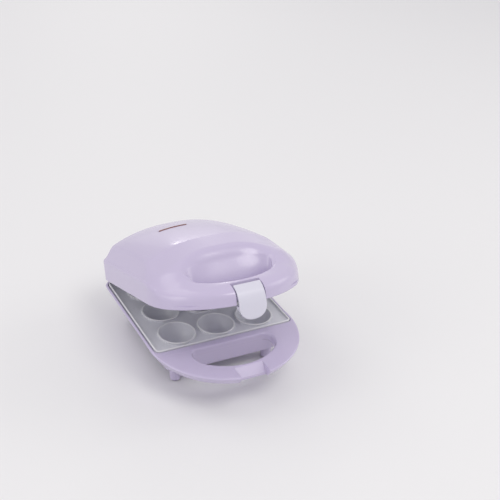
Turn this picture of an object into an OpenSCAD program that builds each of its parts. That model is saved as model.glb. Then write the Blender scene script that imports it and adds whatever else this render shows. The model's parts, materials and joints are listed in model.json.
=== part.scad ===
// Countertop cooker for round cake pops: a hinged lid over a three by three grid of half-round wells.
// The lid and the base are drawn closed about the middle well, then the lid is turned open on its hinge.

/* [Wells] */
// Distance between the centres of neighbouring wells
well_pitch = 43; // [42:0.5:45]
// Width of a well at its mouth
well_d = 35.7; // [33:0.1:36.4]
// Width of the raised ring around each well
ring_w = 1.7; // [1.4:0.1:2]
// Height of the ring above the floor of the plate
ring_h = 2.5; // [2:0.1:3]
// Thickness of the metal around a well
bowl_t = 2.4; // [2:0.1:2.6]

/* [Cooking plates] */
// Thickness of the floor of a plate
plate_t = 2.6; // [2.2:0.1:3]
// From the outer rings to the sides of a plate
side_margin = 12.45; // [11.5:0.05:14]
// From the front rings to the front edge of a plate
front_margin = 4.75; // [4.5:0.05:6]
// From the rear rings to the rear edge of a plate
rear_margin = 9.05; // [8.5:0.05:10]
// Width of the raised rim around a plate
plate_rim_w = 2; // [1.6:0.1:2.6]
// Radius of a plate's corners
plate_corner_r = 5; // [3:0.5:7]
// Gap between the two plates when the lid is shut
plate_gap = 0.3; // [0.2:0.1:0.6]
// Height of the plate's rim and rings above the rim of the base
plate_stand = 1.3; // [1:0.1:1.6]

/* [Base] */
// Height of the base's rim above the table
rim_z = 43; // [42.5:0.1:45]
// Depth of the base below its rim
base_depth = 28; // [27.6:0.1:29]
// Width of the rim beside the plate
rim_w = 2.7; // [2.6:0.1:3.4]
// Width of the deck between the plate and the handle opening
deck_w = 8.1; // [7.5:0.1:9.5]
// Width of the rim behind the plate
rear_rim_w = 6.6; // [6.4:0.1:8]
// Gap between a plate and the rim around it
plate_clear = 0.8; // [0.5:0.1:1]
// How far the sides lean in over the depth of the base
side_lean = 17; // [16:0.5:18]
// How far the rear wall leans in over the depth of the base
rear_lean = 9; // [7:0.5:10]
// How far the front wall leans in over the depth of the base
front_lean = 6.5; // [5:0.5:8]
// Wall of the mouldings
wall_t = 2.6; // [2.4:0.1:2.8]
// Radius of the rear corners of the base and the lid
rear_corner_r = 15; // [14:0.5:16]

/* [Handle] */
// From the middle well forward to the centre of the handle's arc
handle_cy = 58; // [56:0.5:60]
// Width of the handle's bar
bar_w = 22; // [20.5:0.5:24]
// Thickness of the base's half of the handle
handle_t = 10; // [9:0.5:11]
// Half the width of the handle's opening
opening_half_w = 43.5; // [40:0.5:45]
// Radius of the corners of the handle's opening
opening_corner_r = 8; // [6:0.5:10]
// Depth of the pockets under the base's half of the handle
pocket_depth = 7; // [5:0.5:7.5]
// Thickness of the ribs between the pockets
rib_t = 2; // [1.6:0.1:2.6]

/* [Lid] */
// Angle between the lid and the base as the part stands
lid_open = 19; // [0:0.5:95]
// Gap between the lid's edge and the base's rim when shut
lid_gap = 0.8; // [0.6:0.1:1.2]
// Height of the top of the dome above the base's rim
dome_h = 54.7; // [53:0.1:57]
// Height of the upright band around the lid above the base's rim
band_h = 23.5; // [22.5:0.5:25]
// Height of the lid's half of the handle above the base's rim
grip_h = 21.5; // [20:0.5:23]
// Height at which the face of the grip starts to round over
grip_face_h = 7.5; // [6.5:0.5:8.5]
// How far the front of the lid sits behind the front of the base
lid_setback = 8; // [7:0.5:9]
// Radius of the lid's flatter front arc
lid_front_r = 100; // [92:1:115]
// Radius of the finger scoop behind the grip
scoop_r = 34; // [32:1:36]
// Height of the centre of the finger scoop
scoop_z = 46; // [44:1:48]

/* [Hinge] */
// From the rear of the rim back to the hinge axis
hinge_back = 7; // [7:0.5:9]
// Height of the hinge axis above the base's rim
hinge_h = 4; // [3.5:0.1:5]
// From the middle to the centre of each hinge lug
hinge_x = 46; // [42:1:50]
// Diameter of the hinge pins
hinge_pin_d = 4; // [3.5:0.1:4.5]
// Width of the lid's hinge lugs
lug_w = 12; // [10:0.5:14]
// Thickness of each ear on the base
ear_t = 6; // [5:0.5:7]
// Radius of the ears around the hinge pin
ear_r = 6.2; // [5.8:0.1:6.2]
// Gap between a lug and the ears beside it
side_clear = 0.3; // [0.25:0.05:0.5]

/* [Latch] */
// Width of the latch
latch_w = 28; // [24:0.5:30]
// Thickness of the latch
latch_t = 2.5; // [2.2:0.1:3]
// How far the latch hangs below the base's rim
latch_drop = 14.5; // [14:0.1:16]
// Gap on each side of the latch
latch_clear = 1; // [0.8:0.1:1.4]
// Diameter of the latch's pin
latch_pin_d = 2.5; // [2:0.1:3]

/* [Heating] */
// Diameter of the tubular heating elements
heater_d = 6.5; // [6:0.1:7]
// Depth of an element's axis below the well centres
heater_drop = 14; // [13.5:0.1:14.3]
// Thickness of the steel clamps
clamp_t = 1.5; // [1.2:0.1:1.6]
// Width of the steel clamps
clamp_w = 12; // [9:0.5:13]
// Thickness of the heat shields
shield_t = 0.6; // [0.5:0.1:0.8]

/* [Feet] */
// From the middle to the legs, across
leg_x = 51.3; // [46:0.1:51.5]
// From the middle well forward to the front legs
leg_front = 59.5; // [54:0.5:59.5]
// From the middle well back to the rear legs
leg_rear = 57; // [52:0.5:58]
// Diameter of a leg at the top
leg_d = 12; // [11.5:0.5:12.5]
// Diameter of a leg at the bottom
leg_end_d = 10.5; // [10:0.5:11]
// Thickness of a rubber foot pad
pad_t = 1.5; // [1:0.1:2]

/* [Fittings] */
// Length of the indicator window
lens_l = 31; // [26:1:34]
// Width of the indicator window
lens_w = 3.6; // [3:0.1:4.5]
// From the middle well back to the indicator window
lens_y = 19; // [15:1:24]
// From the middle to the centre of the indicator window
lens_x = -14; // [-18:1:0]
// Diameter of the hole for the supply lead
lead_d = 6.6; // [6:0.1:7]
// Diameter of the sleeve that carries the leads past the hinge
sleeve_d = 6; // [5:0.5:6.5]
// Running clearance on the radius of a pin
pin_clear = 0.05; // [0.04:0.01:0.08]
// Clearance between pieces that seat on each other
seat_clear = 0.1; // [0.05:0.05:0.15]

/* [Hidden] */
$fn = 48;

lavender = "#c4b3de";
pale = "#e3dff0";
inner_grey = "#8f8a99";
coat = "#8d9094";
steel = "#b9bcc0";
brass = "#c9a860";
black = "#2c2b2e";

ring_r = well_d / 2 + ring_w;
bowl_r = well_d / 2 + bowl_t;
half_pitch = well_pitch / 2;
plate_w = 2 * (well_pitch + ring_r + side_margin);
plate_front = well_pitch + ring_r + front_margin;
plate_rear = well_pitch + ring_r + rear_margin;
half_w = plate_w / 2 + plate_clear + rim_w;
tub_front = plate_front + plate_clear + deck_w;
rear_y = plate_rear + plate_clear + rear_rim_w;
hinge_y = rear_y + hinge_back;
opening_r = half_w - bar_w;
front_reach = handle_cy + half_w;
rear_reach = hinge_y + ear_r;
origin_shift = (front_reach - rear_reach) / 2;
lean = side_lean / base_depth;
clamp_boss_r = 4;
boss_r = 4.5;
boss_y_front = plate_front - 9.3;
boss_y_rear = plate_rear - 11.6;
boss_drop = 14.3;
shelf_t = 3;
shelf_w = 11;
bush_x = 7;
sleeve_x = -8;
sleeve_run = 23;
sleeve_low = sleeve_run * 0.75 + sleeve_d / 2 - hinge_h;
block_y = rear_y - rear_lean - wall_t - 11.9;
frame_slot = 1.3;
screw_r = 1.65;
head_r = 3.4;
cover_t = 2.5;
deck_t = 2.5;
plate_seat = ring_h + plate_t - plate_stand + 2 * seat_clear;
shield_drop = 21.9;
fuse_x = plate_w / 2 - 8.5;
sensor_half = 11.5;
thermostat_r = 7.5;
thermostat_h = 7;
blade_h = 5;
fuse_y = half_pitch + 2;
bend_x = well_pitch - 3;
heater_end = well_pitch + 13;
pocket_floor = handle_t - pocket_depth;
latch_cut_half = latch_w / 2 + latch_clear;
lid_reach = front_reach - lid_setback;
arc_offset = handle_cy - lid_reach + lid_front_r;
latch_pin_y = lid_reach - 7;
latch_pin_h = 10;
latch_back = lid_reach - 10.5;
ramp_back = front_reach - 18.5;
ramp_front = front_reach - 9.5;
lamp_half = 8;
lamp_foot = 24;
lamp_case_w = 12;
lamp_case_h = 12.5;
lamp_bore = 8.4;
frame_t = 2.4;
frame_lift = lid_gap + 1.2;
frame_clear = 0.25;
lid_opening_back = tub_front + 3.8;
scoop_y = lid_opening_back + scoop_r - 9;
lid_boss_h = plate_stand + plate_gap + boss_drop;

// Rounded rectangle from y0 to y1, with its own radius at the front and at the rear
module plan(hw, y0, y1, r0, r1) {
    hull() {
        for (s = [-1, 1]) {
            translate([s * (hw - r0), y0 + r0]) circle(r = r0);
            translate([s * (hw - r1), y1 - r1]) circle(r = r1);
        }
    }
}

// The same without hull, so that extrusions of it keep true arcs
module plate_plan(grow) {
    r = plate_corner_r + grow;
    hw = plate_w / 2 + grow;
    y0 = -plate_front - grow;
    y1 = plate_rear + grow;
    translate([-hw + r, y0]) square([2 * (hw - r), y1 - y0]);
    translate([-hw, y0 + r]) square([2 * hw, y1 - y0 - 2 * r]);
    for (x = [-hw + r, hw - r], y = [y0 + r, y1 - r]) translate([x, y]) circle(r = r);
}

// Plan of the lid, set in by the given distance
module outline(inset) {
    hw = half_w - inset;
    r = rear_corner_r - inset;
    y1 = rear_y - inset;
    intersection() {
        translate([0, -handle_cy]) circle(r = hw, $fn = 120);
        translate([0, arc_offset - handle_cy]) circle(r = lid_front_r - inset, $fn = 160);
    }
    translate([-hw, -handle_cy]) square([2 * hw, y1 - r + handle_cy]);
    translate([-hw + r, 0]) square([2 * (hw - r), y1]);
    for (s = [-1, 1]) translate([s * (hw - r), y1 - r]) circle(r = r);
}

// Plan of the opening that makes the handle: an arc cut off by the front wall
module opening(back, grow = 0) {
    r = opening_corner_r + grow;
    hx = opening_half_w + grow;
    intersection() {
        translate([0, -handle_cy]) circle(r = opening_r + grow, $fn = 120);
        union() {
            translate([-hx, -front_reach]) square([2 * hx, front_reach - back + grow - r]);
            translate([-hx + r, -front_reach]) square([2 * (hx - r), front_reach - back + grow]);
            for (s = [-1, 1]) translate([s * (hx - r), -back + grow - r]) circle(r = r);
        }
    }
}

module at_wells(z) {
    for (i = [-1:1], j = [-1:1]) translate([i * well_pitch, j * well_pitch, z]) children();
}

// Places of the plate's bosses; the children's +Y points away from the wells
module at_bosses() {
    for (s = [-1, 1]) {
        translate([s * half_pitch, -boss_y_front, 0]) rotate([0, 0, 180]) children();
        translate([s * half_pitch, boss_y_rear, 0]) children();
    }
}

module at_clamps() {
    for (s = [-1, 1]) translate([s * half_pitch, 0, 0]) children();
}

// Places of the legs; the children's +Y points away from the middle
module at_legs() {
    for (s = [-1, 1]) {
        translate([s * leg_x, -leg_front, 0]) rotate([0, 0, 180]) children();
        translate([s * leg_x, leg_rear, 0]) children();
    }
}

// Moves the middle well's frame to the part's own frame
module placed() {
    translate([0, origin_shift, rim_z]) children();
}

// Turns the closed lid open about the hinge axis
module on_lid() {
    placed() translate([0, hinge_y, hinge_h]) rotate([-lid_open, 0, 0])
        translate([0, -hinge_y, -hinge_h]) children();
}

// Along the row's X axis, from x0 over a length
module x_rod(x0, length, r) {
    translate([x0, 0, 0]) rotate([0, 90, 0]) cylinder(h = length, r = r);
}

// Tub of the base below the rim, set in by the given wall
module tub(inset, top, bottom) {
    hull() {
        for (t = [top, 1.5, base_depth - 2, bottom], s = [-1, 1]) {
            k = t <= 1.5 ? 0 : (t - 1.5) / (base_depth - 1.5);
            edge = inset + (t > base_depth - 2 ? 1.2 : 0);
            r = rear_corner_r - 3 * k - edge;
            translate([s * (half_w - side_lean * k - 12), -(tub_front - front_lean * k - 12), -t - 0.01])
                cylinder(h = 0.01, r = 12 - edge, $fn = 32);
            translate([s * (half_w - side_lean * k - edge - r), rear_y - rear_lean * k - edge - r,
                -t - 0.01])
                cylinder(h = 0.01, r = r, $fn = 32);
        }
    }
}

// Half disc of the handle with its leaning outer face
module handle_slab() {
    translate([0, -handle_cy, 0]) rotate([0, 0, 180]) rotate_extrude(angle = 180, $fn = 120)
        polygon([[0, 0], [half_w, 0], [half_w, -1.5],
            [half_w - lean * (handle_t - 1.5), -handle_t], [0, -handle_t]]);
}

// Ear or lug in the plane of the rear wall: a round eye with an arm down to the moulding
module eye(width, r, arm) {
    rotate([90, 0, 90]) translate([0, 0, -width / 2]) linear_extrude(height = width) {
        translate([hinge_y, hinge_h]) circle(r = r);
        polygon(arm);
    }
}

module base_shell() {
    color(lavender) placed() difference() {
        union() {
            tub(0, 0, base_depth);
            handle_slab();
            for (s = [-1, 1], e = [-1, 1])
                translate([s * hinge_x + e * (lug_w / 2 + side_clear + ear_t / 2), 0, 0])
                    eye(ear_t, ear_r, [[hinge_y - ear_r, hinge_h], [hinge_y + ear_r, hinge_h],
                        [hinge_y + ear_r - 1, hinge_h - 6], [rear_y - 8, -22], [rear_y - 8, -2],
                        [rear_y, -0.6], [hinge_y - ear_r, 0.2]]);
        }
        difference() {
            tub(wall_t, deck_t, base_depth + 1);
            at_bosses() translate([-shelf_w / 2, -6, plate_stand - boss_drop - shelf_t])
                cube([shelf_w, 24, shelf_t]);
            at_legs() translate([0, 0, -base_depth + cover_t + seat_clear]) cover_boss();
        }
        translate([0, 0, -plate_seat]) linear_extrude(height = plate_seat + 1) plate_plan(plate_clear);
        translate([0, 0, -handle_t - 1]) linear_extrude(height = handle_t + 2) opening(tub_front);
        handle_pockets();
        latch_ramp();
        at_bosses() translate([0, 0, -boss_drop - 6]) cylinder(h = 8, r = screw_r + 0.5);
        at_legs() translate([0, 0, -base_depth]) cylinder(h = 11, r = screw_r + 0.1);
        for (s = [-1, 1]) translate([0, hinge_y, hinge_h])
            x_rod(s * hinge_x - 20, 40, hinge_pin_d / 2 + 0.02);
        translate([bush_x, rear_y - 14, -17]) rotate([-90, 0, 0]) cylinder(h = 20, r = lead_d / 2 + 1.8);
        translate([sleeve_x - sleeve_d / 2 - seat_clear, rear_y - 7.8, -sleeve_low])
            cube([sleeve_d + 2 * seat_clear, 12, sleeve_low + 2]);
    }
}

module cover_boss() {
    cylinder(h = 9, r = 4);
    translate([-1.2, 0, 0]) cube([2.4, 18, 9]);
}

// Ribbed pockets moulded under the handle
module handle_pockets() {
    difference() {
        translate([0, -handle_cy, -handle_t - 1]) rotate([0, 0, 200]) rotate_extrude(angle = 140, $fn = 120)
            polygon([[opening_r + wall_t, 0], [half_w - lean * handle_t - wall_t, 0],
                [half_w - lean * handle_t - wall_t + 2, pocket_depth + 1],
                    [opening_r + wall_t, pocket_depth + 1]]);
        for (a = [-72:12:72]) translate([0, -handle_cy, -handle_t - 2]) rotate([0, 0, a - 90])
            translate([0, -rib_t / 2, 0]) cube([half_w, rib_t, handle_t]);
        translate([-latch_cut_half - wall_t, -front_reach - 1, -handle_t - 2])
            cube([2 * (latch_cut_half + wall_t), 30, handle_t + 2]);
    }
}

// Sloping cut that guides the latch over the edge of the handle
module latch_ramp() {
    rotate([90, 0, 90]) translate([0, 0, -latch_cut_half]) linear_extrude(height = 2 * latch_cut_half)
        polygon([[-ramp_back, 1], [-ramp_back, -0.3], [-ramp_front, -handle_t + 2.5],
            [-ramp_front, -handle_t - 1], [-front_reach - 5, -handle_t - 1], [-front_reach - 5, 1]]);
}

module bottom_cover() {
    k = 1.2 + seat_clear * 3;
    color(lavender) placed() translate([0, 0, -base_depth]) difference() {
        union() {
            linear_extrude(height = cover_t)
                plan(half_w - side_lean - wall_t - k, -(tub_front - front_lean - wall_t - k),
                    rear_y - rear_lean - wall_t - k, 8, 8);
            at_legs() translate([0, 0, -(rim_z - base_depth) + pad_t])
                cylinder(h = rim_z - base_depth - pad_t, r1 = leg_end_d / 2, r2 = leg_d / 2);
        }
        at_legs() {
            translate([0, 0, -(rim_z - base_depth)]) cylinder(h = rim_z - base_depth - 2, r = head_r + 0.4);
            translate([0, 0, -4]) cylinder(h = 10, r = screw_r + 0.2);
        }
        for (i = [-3:3]) translate([i * 9 - 1.5, -20, -1]) cube([3, 40, cover_t + 2]);
    }
}

module foot_pads() {
    color(black) translate([0, origin_shift, 0]) at_legs() {
        cylinder(h = pad_t, r = leg_end_d / 2);
        translate([0, 0, pad_t]) cylinder(h = 4, r = head_r + 0.4 - seat_clear);
    }
}

// Pan-head screw: the head's underside is at z = 0 and the shank points up
module screw(r, head, head_h, length) {
    difference() {
        union() {
            cylinder(h = length, r = r);
            translate([0, 0, -head_h]) cylinder(h = head_h, r = head);
        }
        for (a = [0, 90]) rotate([0, 0, a])
            translate([-head * 0.6, -head * 0.12, -head_h - 1])
                cube([head * 1.2, head * 0.24, 1 + head_h * 0.5]);
    }
}

module cover_screws() {
    color(steel) placed() at_legs() translate([0, 0, -base_depth - 2.1]) screw(screw_r, head_r, 2.2, 12);
}

// One cooking plate with its wells up, its rings at z = 0
module cooking_plate() {
    floor_top = -ring_h;
    floor_bottom = -ring_h - plate_t;
    difference() {
        union() {
            difference() {
                translate([0, 0, floor_bottom]) linear_extrude(height = -floor_bottom) plate_plan(0);
                translate([0, 0, floor_top]) linear_extrude(height = ring_h + 1) plate_plan(-plate_rim_w);
            }
            at_wells(floor_top - 0.5) cylinder(h = ring_h + 0.5, r = ring_r);
            intersection() {
                at_wells(0) sphere(r = bowl_r);
                translate([-plate_w, -plate_w, -bowl_r - 1])
                    cube([2 * plate_w, 2 * plate_w, bowl_r + 1 + floor_top - 0.5]);
            }
            for (s = [-1, 1]) translate([-heater_end + 4, s * half_pitch - 4, -heater_drop])
                cube([heater_end - 4 + bend_x, 8, heater_drop + floor_bottom + 0.5]);
            translate([bend_x, 0, -heater_drop]) rotate([0, 0, -90]) rotate_extrude(angle = 180, $fn = 96)
                translate([half_pitch - 4, 0]) square([8, heater_drop + floor_bottom + 0.5]);
            at_bosses() translate([0, 0, -boss_drop])
                cylinder(h = boss_drop + floor_bottom + 0.5, r = boss_r);
            at_clamps() translate([0, 0, -heater_drop - heater_d / 2])
                cylinder(h = heater_drop + heater_d / 2 + floor_bottom + 0.5, r = clamp_boss_r);
            at_sensor() for (s = [-1, 1]) translate([s * sensor_half, 0, floor_bottom - 2])
                cylinder(h = 3, r = 3);
        }
        at_wells(0) sphere(r = well_d / 2, $fn = 96);
        heater_path(heater_d / 2 + seat_clear / 2);
        at_bosses() translate([0, 0, -boss_drop - 1]) cylinder(h = 9.5, r = screw_r + 0.1);
        at_clamps() translate([0, 0, -heater_drop - heater_d / 2 - 1]) cylinder(h = 9, r = 1.4);
        at_sensor() for (s = [-1, 1]) translate([s * sensor_half, 0, floor_bottom - 3])
            cylinder(h = 4.2, r = 1.1);
    }
}

// Place of the thermostat or the fuse, between two wells and the side of the plate
module at_sensor() {
    translate([fuse_x, fuse_y, 0]) rotate([0, 0, 90]) children();
}

// Hairpin of the element: two straight runs between the rows of wells and a bend around the side
module heater_path(r) {
    for (s = [-1, 1]) translate([0, s * half_pitch, -heater_drop])
        x_rod(-heater_end, heater_end + bend_x, r);
    translate([bend_x, 0, -heater_drop]) rotate([0, 0, -90]) rotate_extrude(angle = 180, $fn = 96)
        translate([half_pitch, 0]) circle(r = r);
}

module heater() {
    heater_path(heater_d / 2);
    for (s = [-1, 1]) translate([0, s * half_pitch, -heater_drop]) {
        x_rod(-heater_end - 2, 2, heater_d / 2 - 0.7);
        x_rod(-heater_end - 5, 3, 1.4);
    }
}

module clamps() {
    at_clamps() difference() {
        translate([-clamp_w / 2, -half_pitch - 5, -heater_drop - heater_d / 2 - seat_clear - clamp_t])
            cube([clamp_w, well_pitch + 10, clamp_t]);
        translate([0, 0, -heater_drop - heater_d / 2 - 4]) cylinder(h = 8, r = 1.6);
    }
}

module clamp_screws() {
    at_clamps() translate([0, 0, -heater_drop - heater_d / 2 - seat_clear - clamp_t - 0.05])
        screw(1.3, 2.8, 1.6, 8);
}

module plate_screws() {
    at_bosses() translate([0, 0, -boss_drop - shelf_t - shield_t - seat_clear * 2])
        screw(screw_r, head_r, 2, 11);
}

// Steel shield behind a plate, hung on the plate screws by four pressed cups
module shield() {
    cup_r = head_r + 1.4;
    cup_top = -boss_drop - shelf_t - seat_clear;
    sheet = -shield_drop - shield_t;
    difference() {
        union() {
            difference() {
                translate([0, 0, sheet]) linear_extrude(height = shield_t)
                    plan(leg_x - 6.5, -boss_y_front - 6.5, boss_y_rear + 6.5, 6, 6);
                at_bosses() translate([0, 0, sheet - 1]) cylinder(h = shield_t + 2, r = cup_r - shield_t);
            }
            at_bosses() difference() {
                translate([0, 0, sheet]) cylinder(h = cup_top - sheet, r = cup_r);
                translate([0, 0, sheet - 1])
                    cylinder(h = cup_top - sheet - shield_t + 1, r = cup_r - shield_t);
            }
        }
        at_bosses() translate([0, 0, sheet]) cylinder(h = 20, r = screw_r + 0.3);
        translate([-15, block_y - 1.5, sheet - 1]) cube([30, 30, 3]);
    }
}

// Sensor body on the back of a plate
module sensor_flange(body_r, body_h) {
    at_sensor() translate([0, 0, -ring_h - plate_t - 2 - seat_clear]) mirror([0, 0, 1]) difference() {
        union() {
            cylinder(h = body_h, r = body_r);
            translate([-sensor_half - 3, -3.5, 0]) cube([2 * sensor_half + 6, 7, 1]);
        }
        for (s = [-1, 1]) translate([s * sensor_half, 0, -1]) cylinder(h = 4, r = 1.4);
    }
}

module lower_plate() {
    color(coat) placed() translate([0, 0, plate_stand]) cooking_plate();
}

module lower_heater() {
    color(steel) placed() translate([0, 0, plate_stand]) heater();
}

module lower_clamps() {
    color(steel) placed() translate([0, 0, plate_stand]) clamps();
}

module lower_clamp_screws() {
    color(steel) placed() translate([0, 0, plate_stand]) clamp_screws();
}

module lower_plate_screws() {
    color(steel) placed() translate([0, 0, plate_stand]) plate_screws();
}

module lower_shield() {
    color(steel) placed() translate([0, 0, plate_stand]) shield();
}

// Cut-out in its sleeve, lying under its clip
module thermal_fuse() {
    color(pale) placed() translate([0, 0, plate_stand]) at_sensor()
        translate([0, 0, -ring_h - plate_t - 2 - 2.4]) {
            x_rod(-6.8, 13.6, 2);
            x_rod(-sensor_half + 2.5, 2 * sensor_half - 5, 0.5);
        }
}

module fuse_clip() {
    z0 = -ring_h - plate_t - 2 - seat_clear;
    color(steel) placed() translate([0, 0, plate_stand]) at_sensor() difference() {
        union() {
            translate([-sensor_half - 2.5, -3, z0 - 0.8]) cube([sensor_half - 4.5, 6, 0.8]);
            translate([7, -3, z0 - 0.8]) cube([sensor_half - 4.5, 6, 0.8]);
            translate([-7.8, -3, z0 - 5.2]) cube([0.8, 6, 5.2]);
            translate([7, -3, z0 - 5.2]) cube([0.8, 6, 5.2]);
            translate([-7.8, -3, z0 - 5.2]) cube([15.6, 6, 0.8]);
        }
        for (s = [-1, 1]) translate([s * sensor_half, 0, z0 - 2]) cylinder(h = 4, r = 1.4);
        translate([0, 0, z0 - 2.3]) x_rod(-12, 24, 0.8);
    }
}

module fuse_screws() {
    color(steel) placed() translate([0, 0, plate_stand]) at_sensor() for (s = [-1, 1])
        translate([s * sensor_half, 0, -ring_h - plate_t - 2 - seat_clear - 0.85]) screw(1, 2.2, 1.4, 4);
}

// Terminal block that joins the supply lead to the inner leads
module terminal_block() {
    w = 26;
    d = 8;
    h = 10;
    color(pale) placed() translate([-w / 2, block_y, -base_depth + cover_t + seat_clear])
        difference() {
            cube([w, d, h]);
            for (i = [0:2]) {
                translate([w / 6 + i * w / 3, -1, h / 2]) rotate([-90, 0, 0]) cylinder(h = d + 2, r = 1.6);
                translate([w / 6 + i * w / 3, d / 2, h / 2]) cylinder(h = h, r = 1.4);
            }
        }
}

// Bush that lines the supply lead's hole, with a flange on each side of the rear wall
module cord_bush() {
    color(pale) placed() translate([bush_x, rear_y - 14, -17]) rotate([-90, 0, 0]) difference() {
        union() {
            translate([0, 0, 1]) cylinder(h = 16, r = lead_d / 2 + 1.7);
            translate([0, 0, 0.4]) cylinder(h = 3, r = lead_d / 2 + 3.3);
            translate([0, 0, 12.2]) cylinder(h = 5.8, r = lead_d / 2 + 3.3);
        }
        translate([0, 0, -1]) cylinder(h = 30, r = lead_d / 2);
    }
}

module hinge_pins() {
    half = lug_w / 2 + side_clear + ear_t;
    color(steel) placed() translate([0, hinge_y, hinge_h]) for (s = [0, 1]) mirror([s, 0, 0]) {
        x_rod(hinge_x - half, 2 * half + 1, hinge_pin_d / 2);
        x_rod(hinge_x + half + 0.05, 1.2, hinge_pin_d / 2 + 1.2);
    }
}

// Sleeve over the leads to the lid, in two halves that meet at the hinge axis
module base_sleeve() {
    color(pale) placed() translate([sleeve_x, hinge_y, hinge_h]) {
        rotate([137, 0, 0]) cylinder(h = sleeve_run, r = sleeve_d / 2);
        sphere(r = sleeve_d / 2 + 0.5);
    }
}

module lid_sleeve() {
    color(pale) on_lid() translate([sleeve_x, hinge_y, hinge_h]) difference() {
        rotate([45, 0, 0]) cylinder(h = sleeve_run + 1, r = sleeve_d / 2);
        sphere(r = sleeve_d / 2 + 1.6);
    }
}

// The skin of the lid is a stack of rings, each the lid's plan set in by its own distance
ring_insets = [0, 0.6, 2, 4, 6, 8, 10, 12.5, 15.5, 19, 23, 27.5, 32, 37, 42, 47, 52, 57, 62, 67, 72];
arc_steps = 14;
side_steps = 9;
corner_steps = 4;
rear_steps = 4;
function smooth(t) = let (c = min(1, max(0, t))) c * c * (3 - 2 * c);
function mix(a, b, t) = a + (b - a) * t;

// Height of the dome along the middle line
function spine(y) =
    y > 10 ? dome_h - 4.5 * pow((y - 10) / 58, 2.2) :
    y > -39 ? dome_h - 0.0018 * pow(10 - y, 2) :
    mix(dome_h - 4.3 - 0.2 * (-39 - y), grip_h, smooth((-66 - y) / 44));
function side_fall(y) = mix(0.58, 0.75, smooth((-30 - y) / 40));
function dome(x, y) = grip_h + max(0, spine(y) - grip_h) * (1 - side_fall(y) * pow(min(1.2,
    abs(x) / 70), 2.5));

// Height that the edge allows at a distance in from the plan's edge: a band and a scooped side on the
// body, and a long round on the grip
function body_edge(d) = d < 2 ? band_h - 2 + sqrt(max(0, 4 - pow(2 - d,
    2))) : band_h + 11.2 * pow((d - 2) / 8, 1.11);
function grip_edge(d) =
    d < 22 ? grip_h - (grip_h - grip_face_h) * pow((22 - d) / 22, 1.6) : grip_h + (d - 22) * 4;
function skin(x, y, d) =
    min(dome(x, y), mix(body_edge(d), grip_edge(d), smooth((-58 - y) / 35)));

// Radius of the lid's front about the centre of the handle's arc
function arc_reach(a) = min(half_w, arc_offset * sin(a) + sqrt(pow(lid_front_r,
    2) - pow(arc_offset * cos(a), 2)));

// Right half of one ring, from the front of the handle to the middle of the rear
function half_ring(d) =
    let (hw = half_w - d, r = max(3, rear_corner_r - d), rc = d + r, y1 = rear_y - d)
    concat(
        [for (i = [0:arc_steps]) let (a = -90 + i * 90 / arc_steps, q = arc_reach(a) * hw / half_w)
            [q * cos(a), -handle_cy + q * sin(a)]],
        [for (i = [1:side_steps]) [hw, mix(-handle_cy, rear_y - rc, i / side_steps)]],
        [for (i = [1:corner_steps]) let (a = i * 90 / corner_steps)
            [half_w - rc + r * cos(a), rear_y - rc + r * sin(a)]],
        [for (i = [1:rear_steps]) [(half_w - rc) * (1 - i / rear_steps), y1]]);
half_count = arc_steps + side_steps + corner_steps + rear_steps + 1;
ring_count = 2 * half_count - 2;
function whole(h) = concat(h, [for (i = [half_count - 2:-1:1]) [-h[i][0], h[i][1]]]);

module lid_block() {
    rings = [for (d = ring_insets) whole(half_ring(d))];
    levels = len(ring_insets);
    top = [for (j = [0:levels - 1], p = rings[j]) [p[0], p[1], skin(p[0], p[1], ring_insets[j])]];
    bottom = [for (p = rings[0]) [p[0], p[1], lid_gap]];
    n = ring_count;
    last = (levels - 1) * n;
    base = levels * n;
    walls = [for (j = [0:levels - 2], i = [0:n - 1]) let (k = (i + 1) % n)
        each [[j * n + i, (j + 1) * n + i, (j + 1) * n + k], [j * n + i, (j + 1) * n + k, j * n + k]]];
    skirt = [for (i = [0:n - 1]) let (k = (i + 1) % n) each [[base + i, i, k], [base + i, k, base + k]]];
    ridge = [for (i = [0:half_count - 2]) let (a = last + i, b = last + i + 1,
            c = last + (n - i - 1) % n, e = last + (n - i) % n)
        each concat(i < half_count - 2 ? [[a, c, b]] : [], i > 0 ? [[a, e, c]] : [])];
    polyhedron(points = concat(top, bottom), faces = concat(walls, skirt, ridge,
        [[for (i = [0:n - 1]) base + i]]),
        convexity = 6);
}

// Hollow of the lid behind the grip
module lid_cavity() {
    w = wall_t + 0.2;
    hull() {
        for (s = [-1, 1]) {
            cavity_corner(s, -1, half_w - w, tub_front - 0.6, rear_y - w, 6, 12);
            cavity_corner(s, 8, half_w - w, tub_front - 0.6, rear_y - w, 6, 12);
            cavity_corner(s, band_h - 3, half_w - w - 0.4, tub_front - 1, rear_y - w - 0.4, 22, 12);
            cavity_corner(s, band_h + 6.5, half_w - 16.5, 66, rear_y - 13, 24, 16);
            cavity_corner(s, dome_h - 14.7, half_w - 30.5, 58, rear_y - 17, 26, 16);
            cavity_corner(s, dome_h - 8.7, half_w - 48.5, 38, rear_y - 27, 20, 16);
            cavity_corner(s, dome_h - 5.2, 18, 14, 38, 12, 12);
        }
    }
}

module cavity_corner(s, z, hw, front, rear, r0, r1) {
    translate([s * (hw - r0), -front + r0, z]) cylinder(h = 0.1, r = r0, $fn = 32);
    translate([s * (hw - r1), rear - r1, z]) cylinder(h = 0.1, r = r1, $fn = 32);
}

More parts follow.
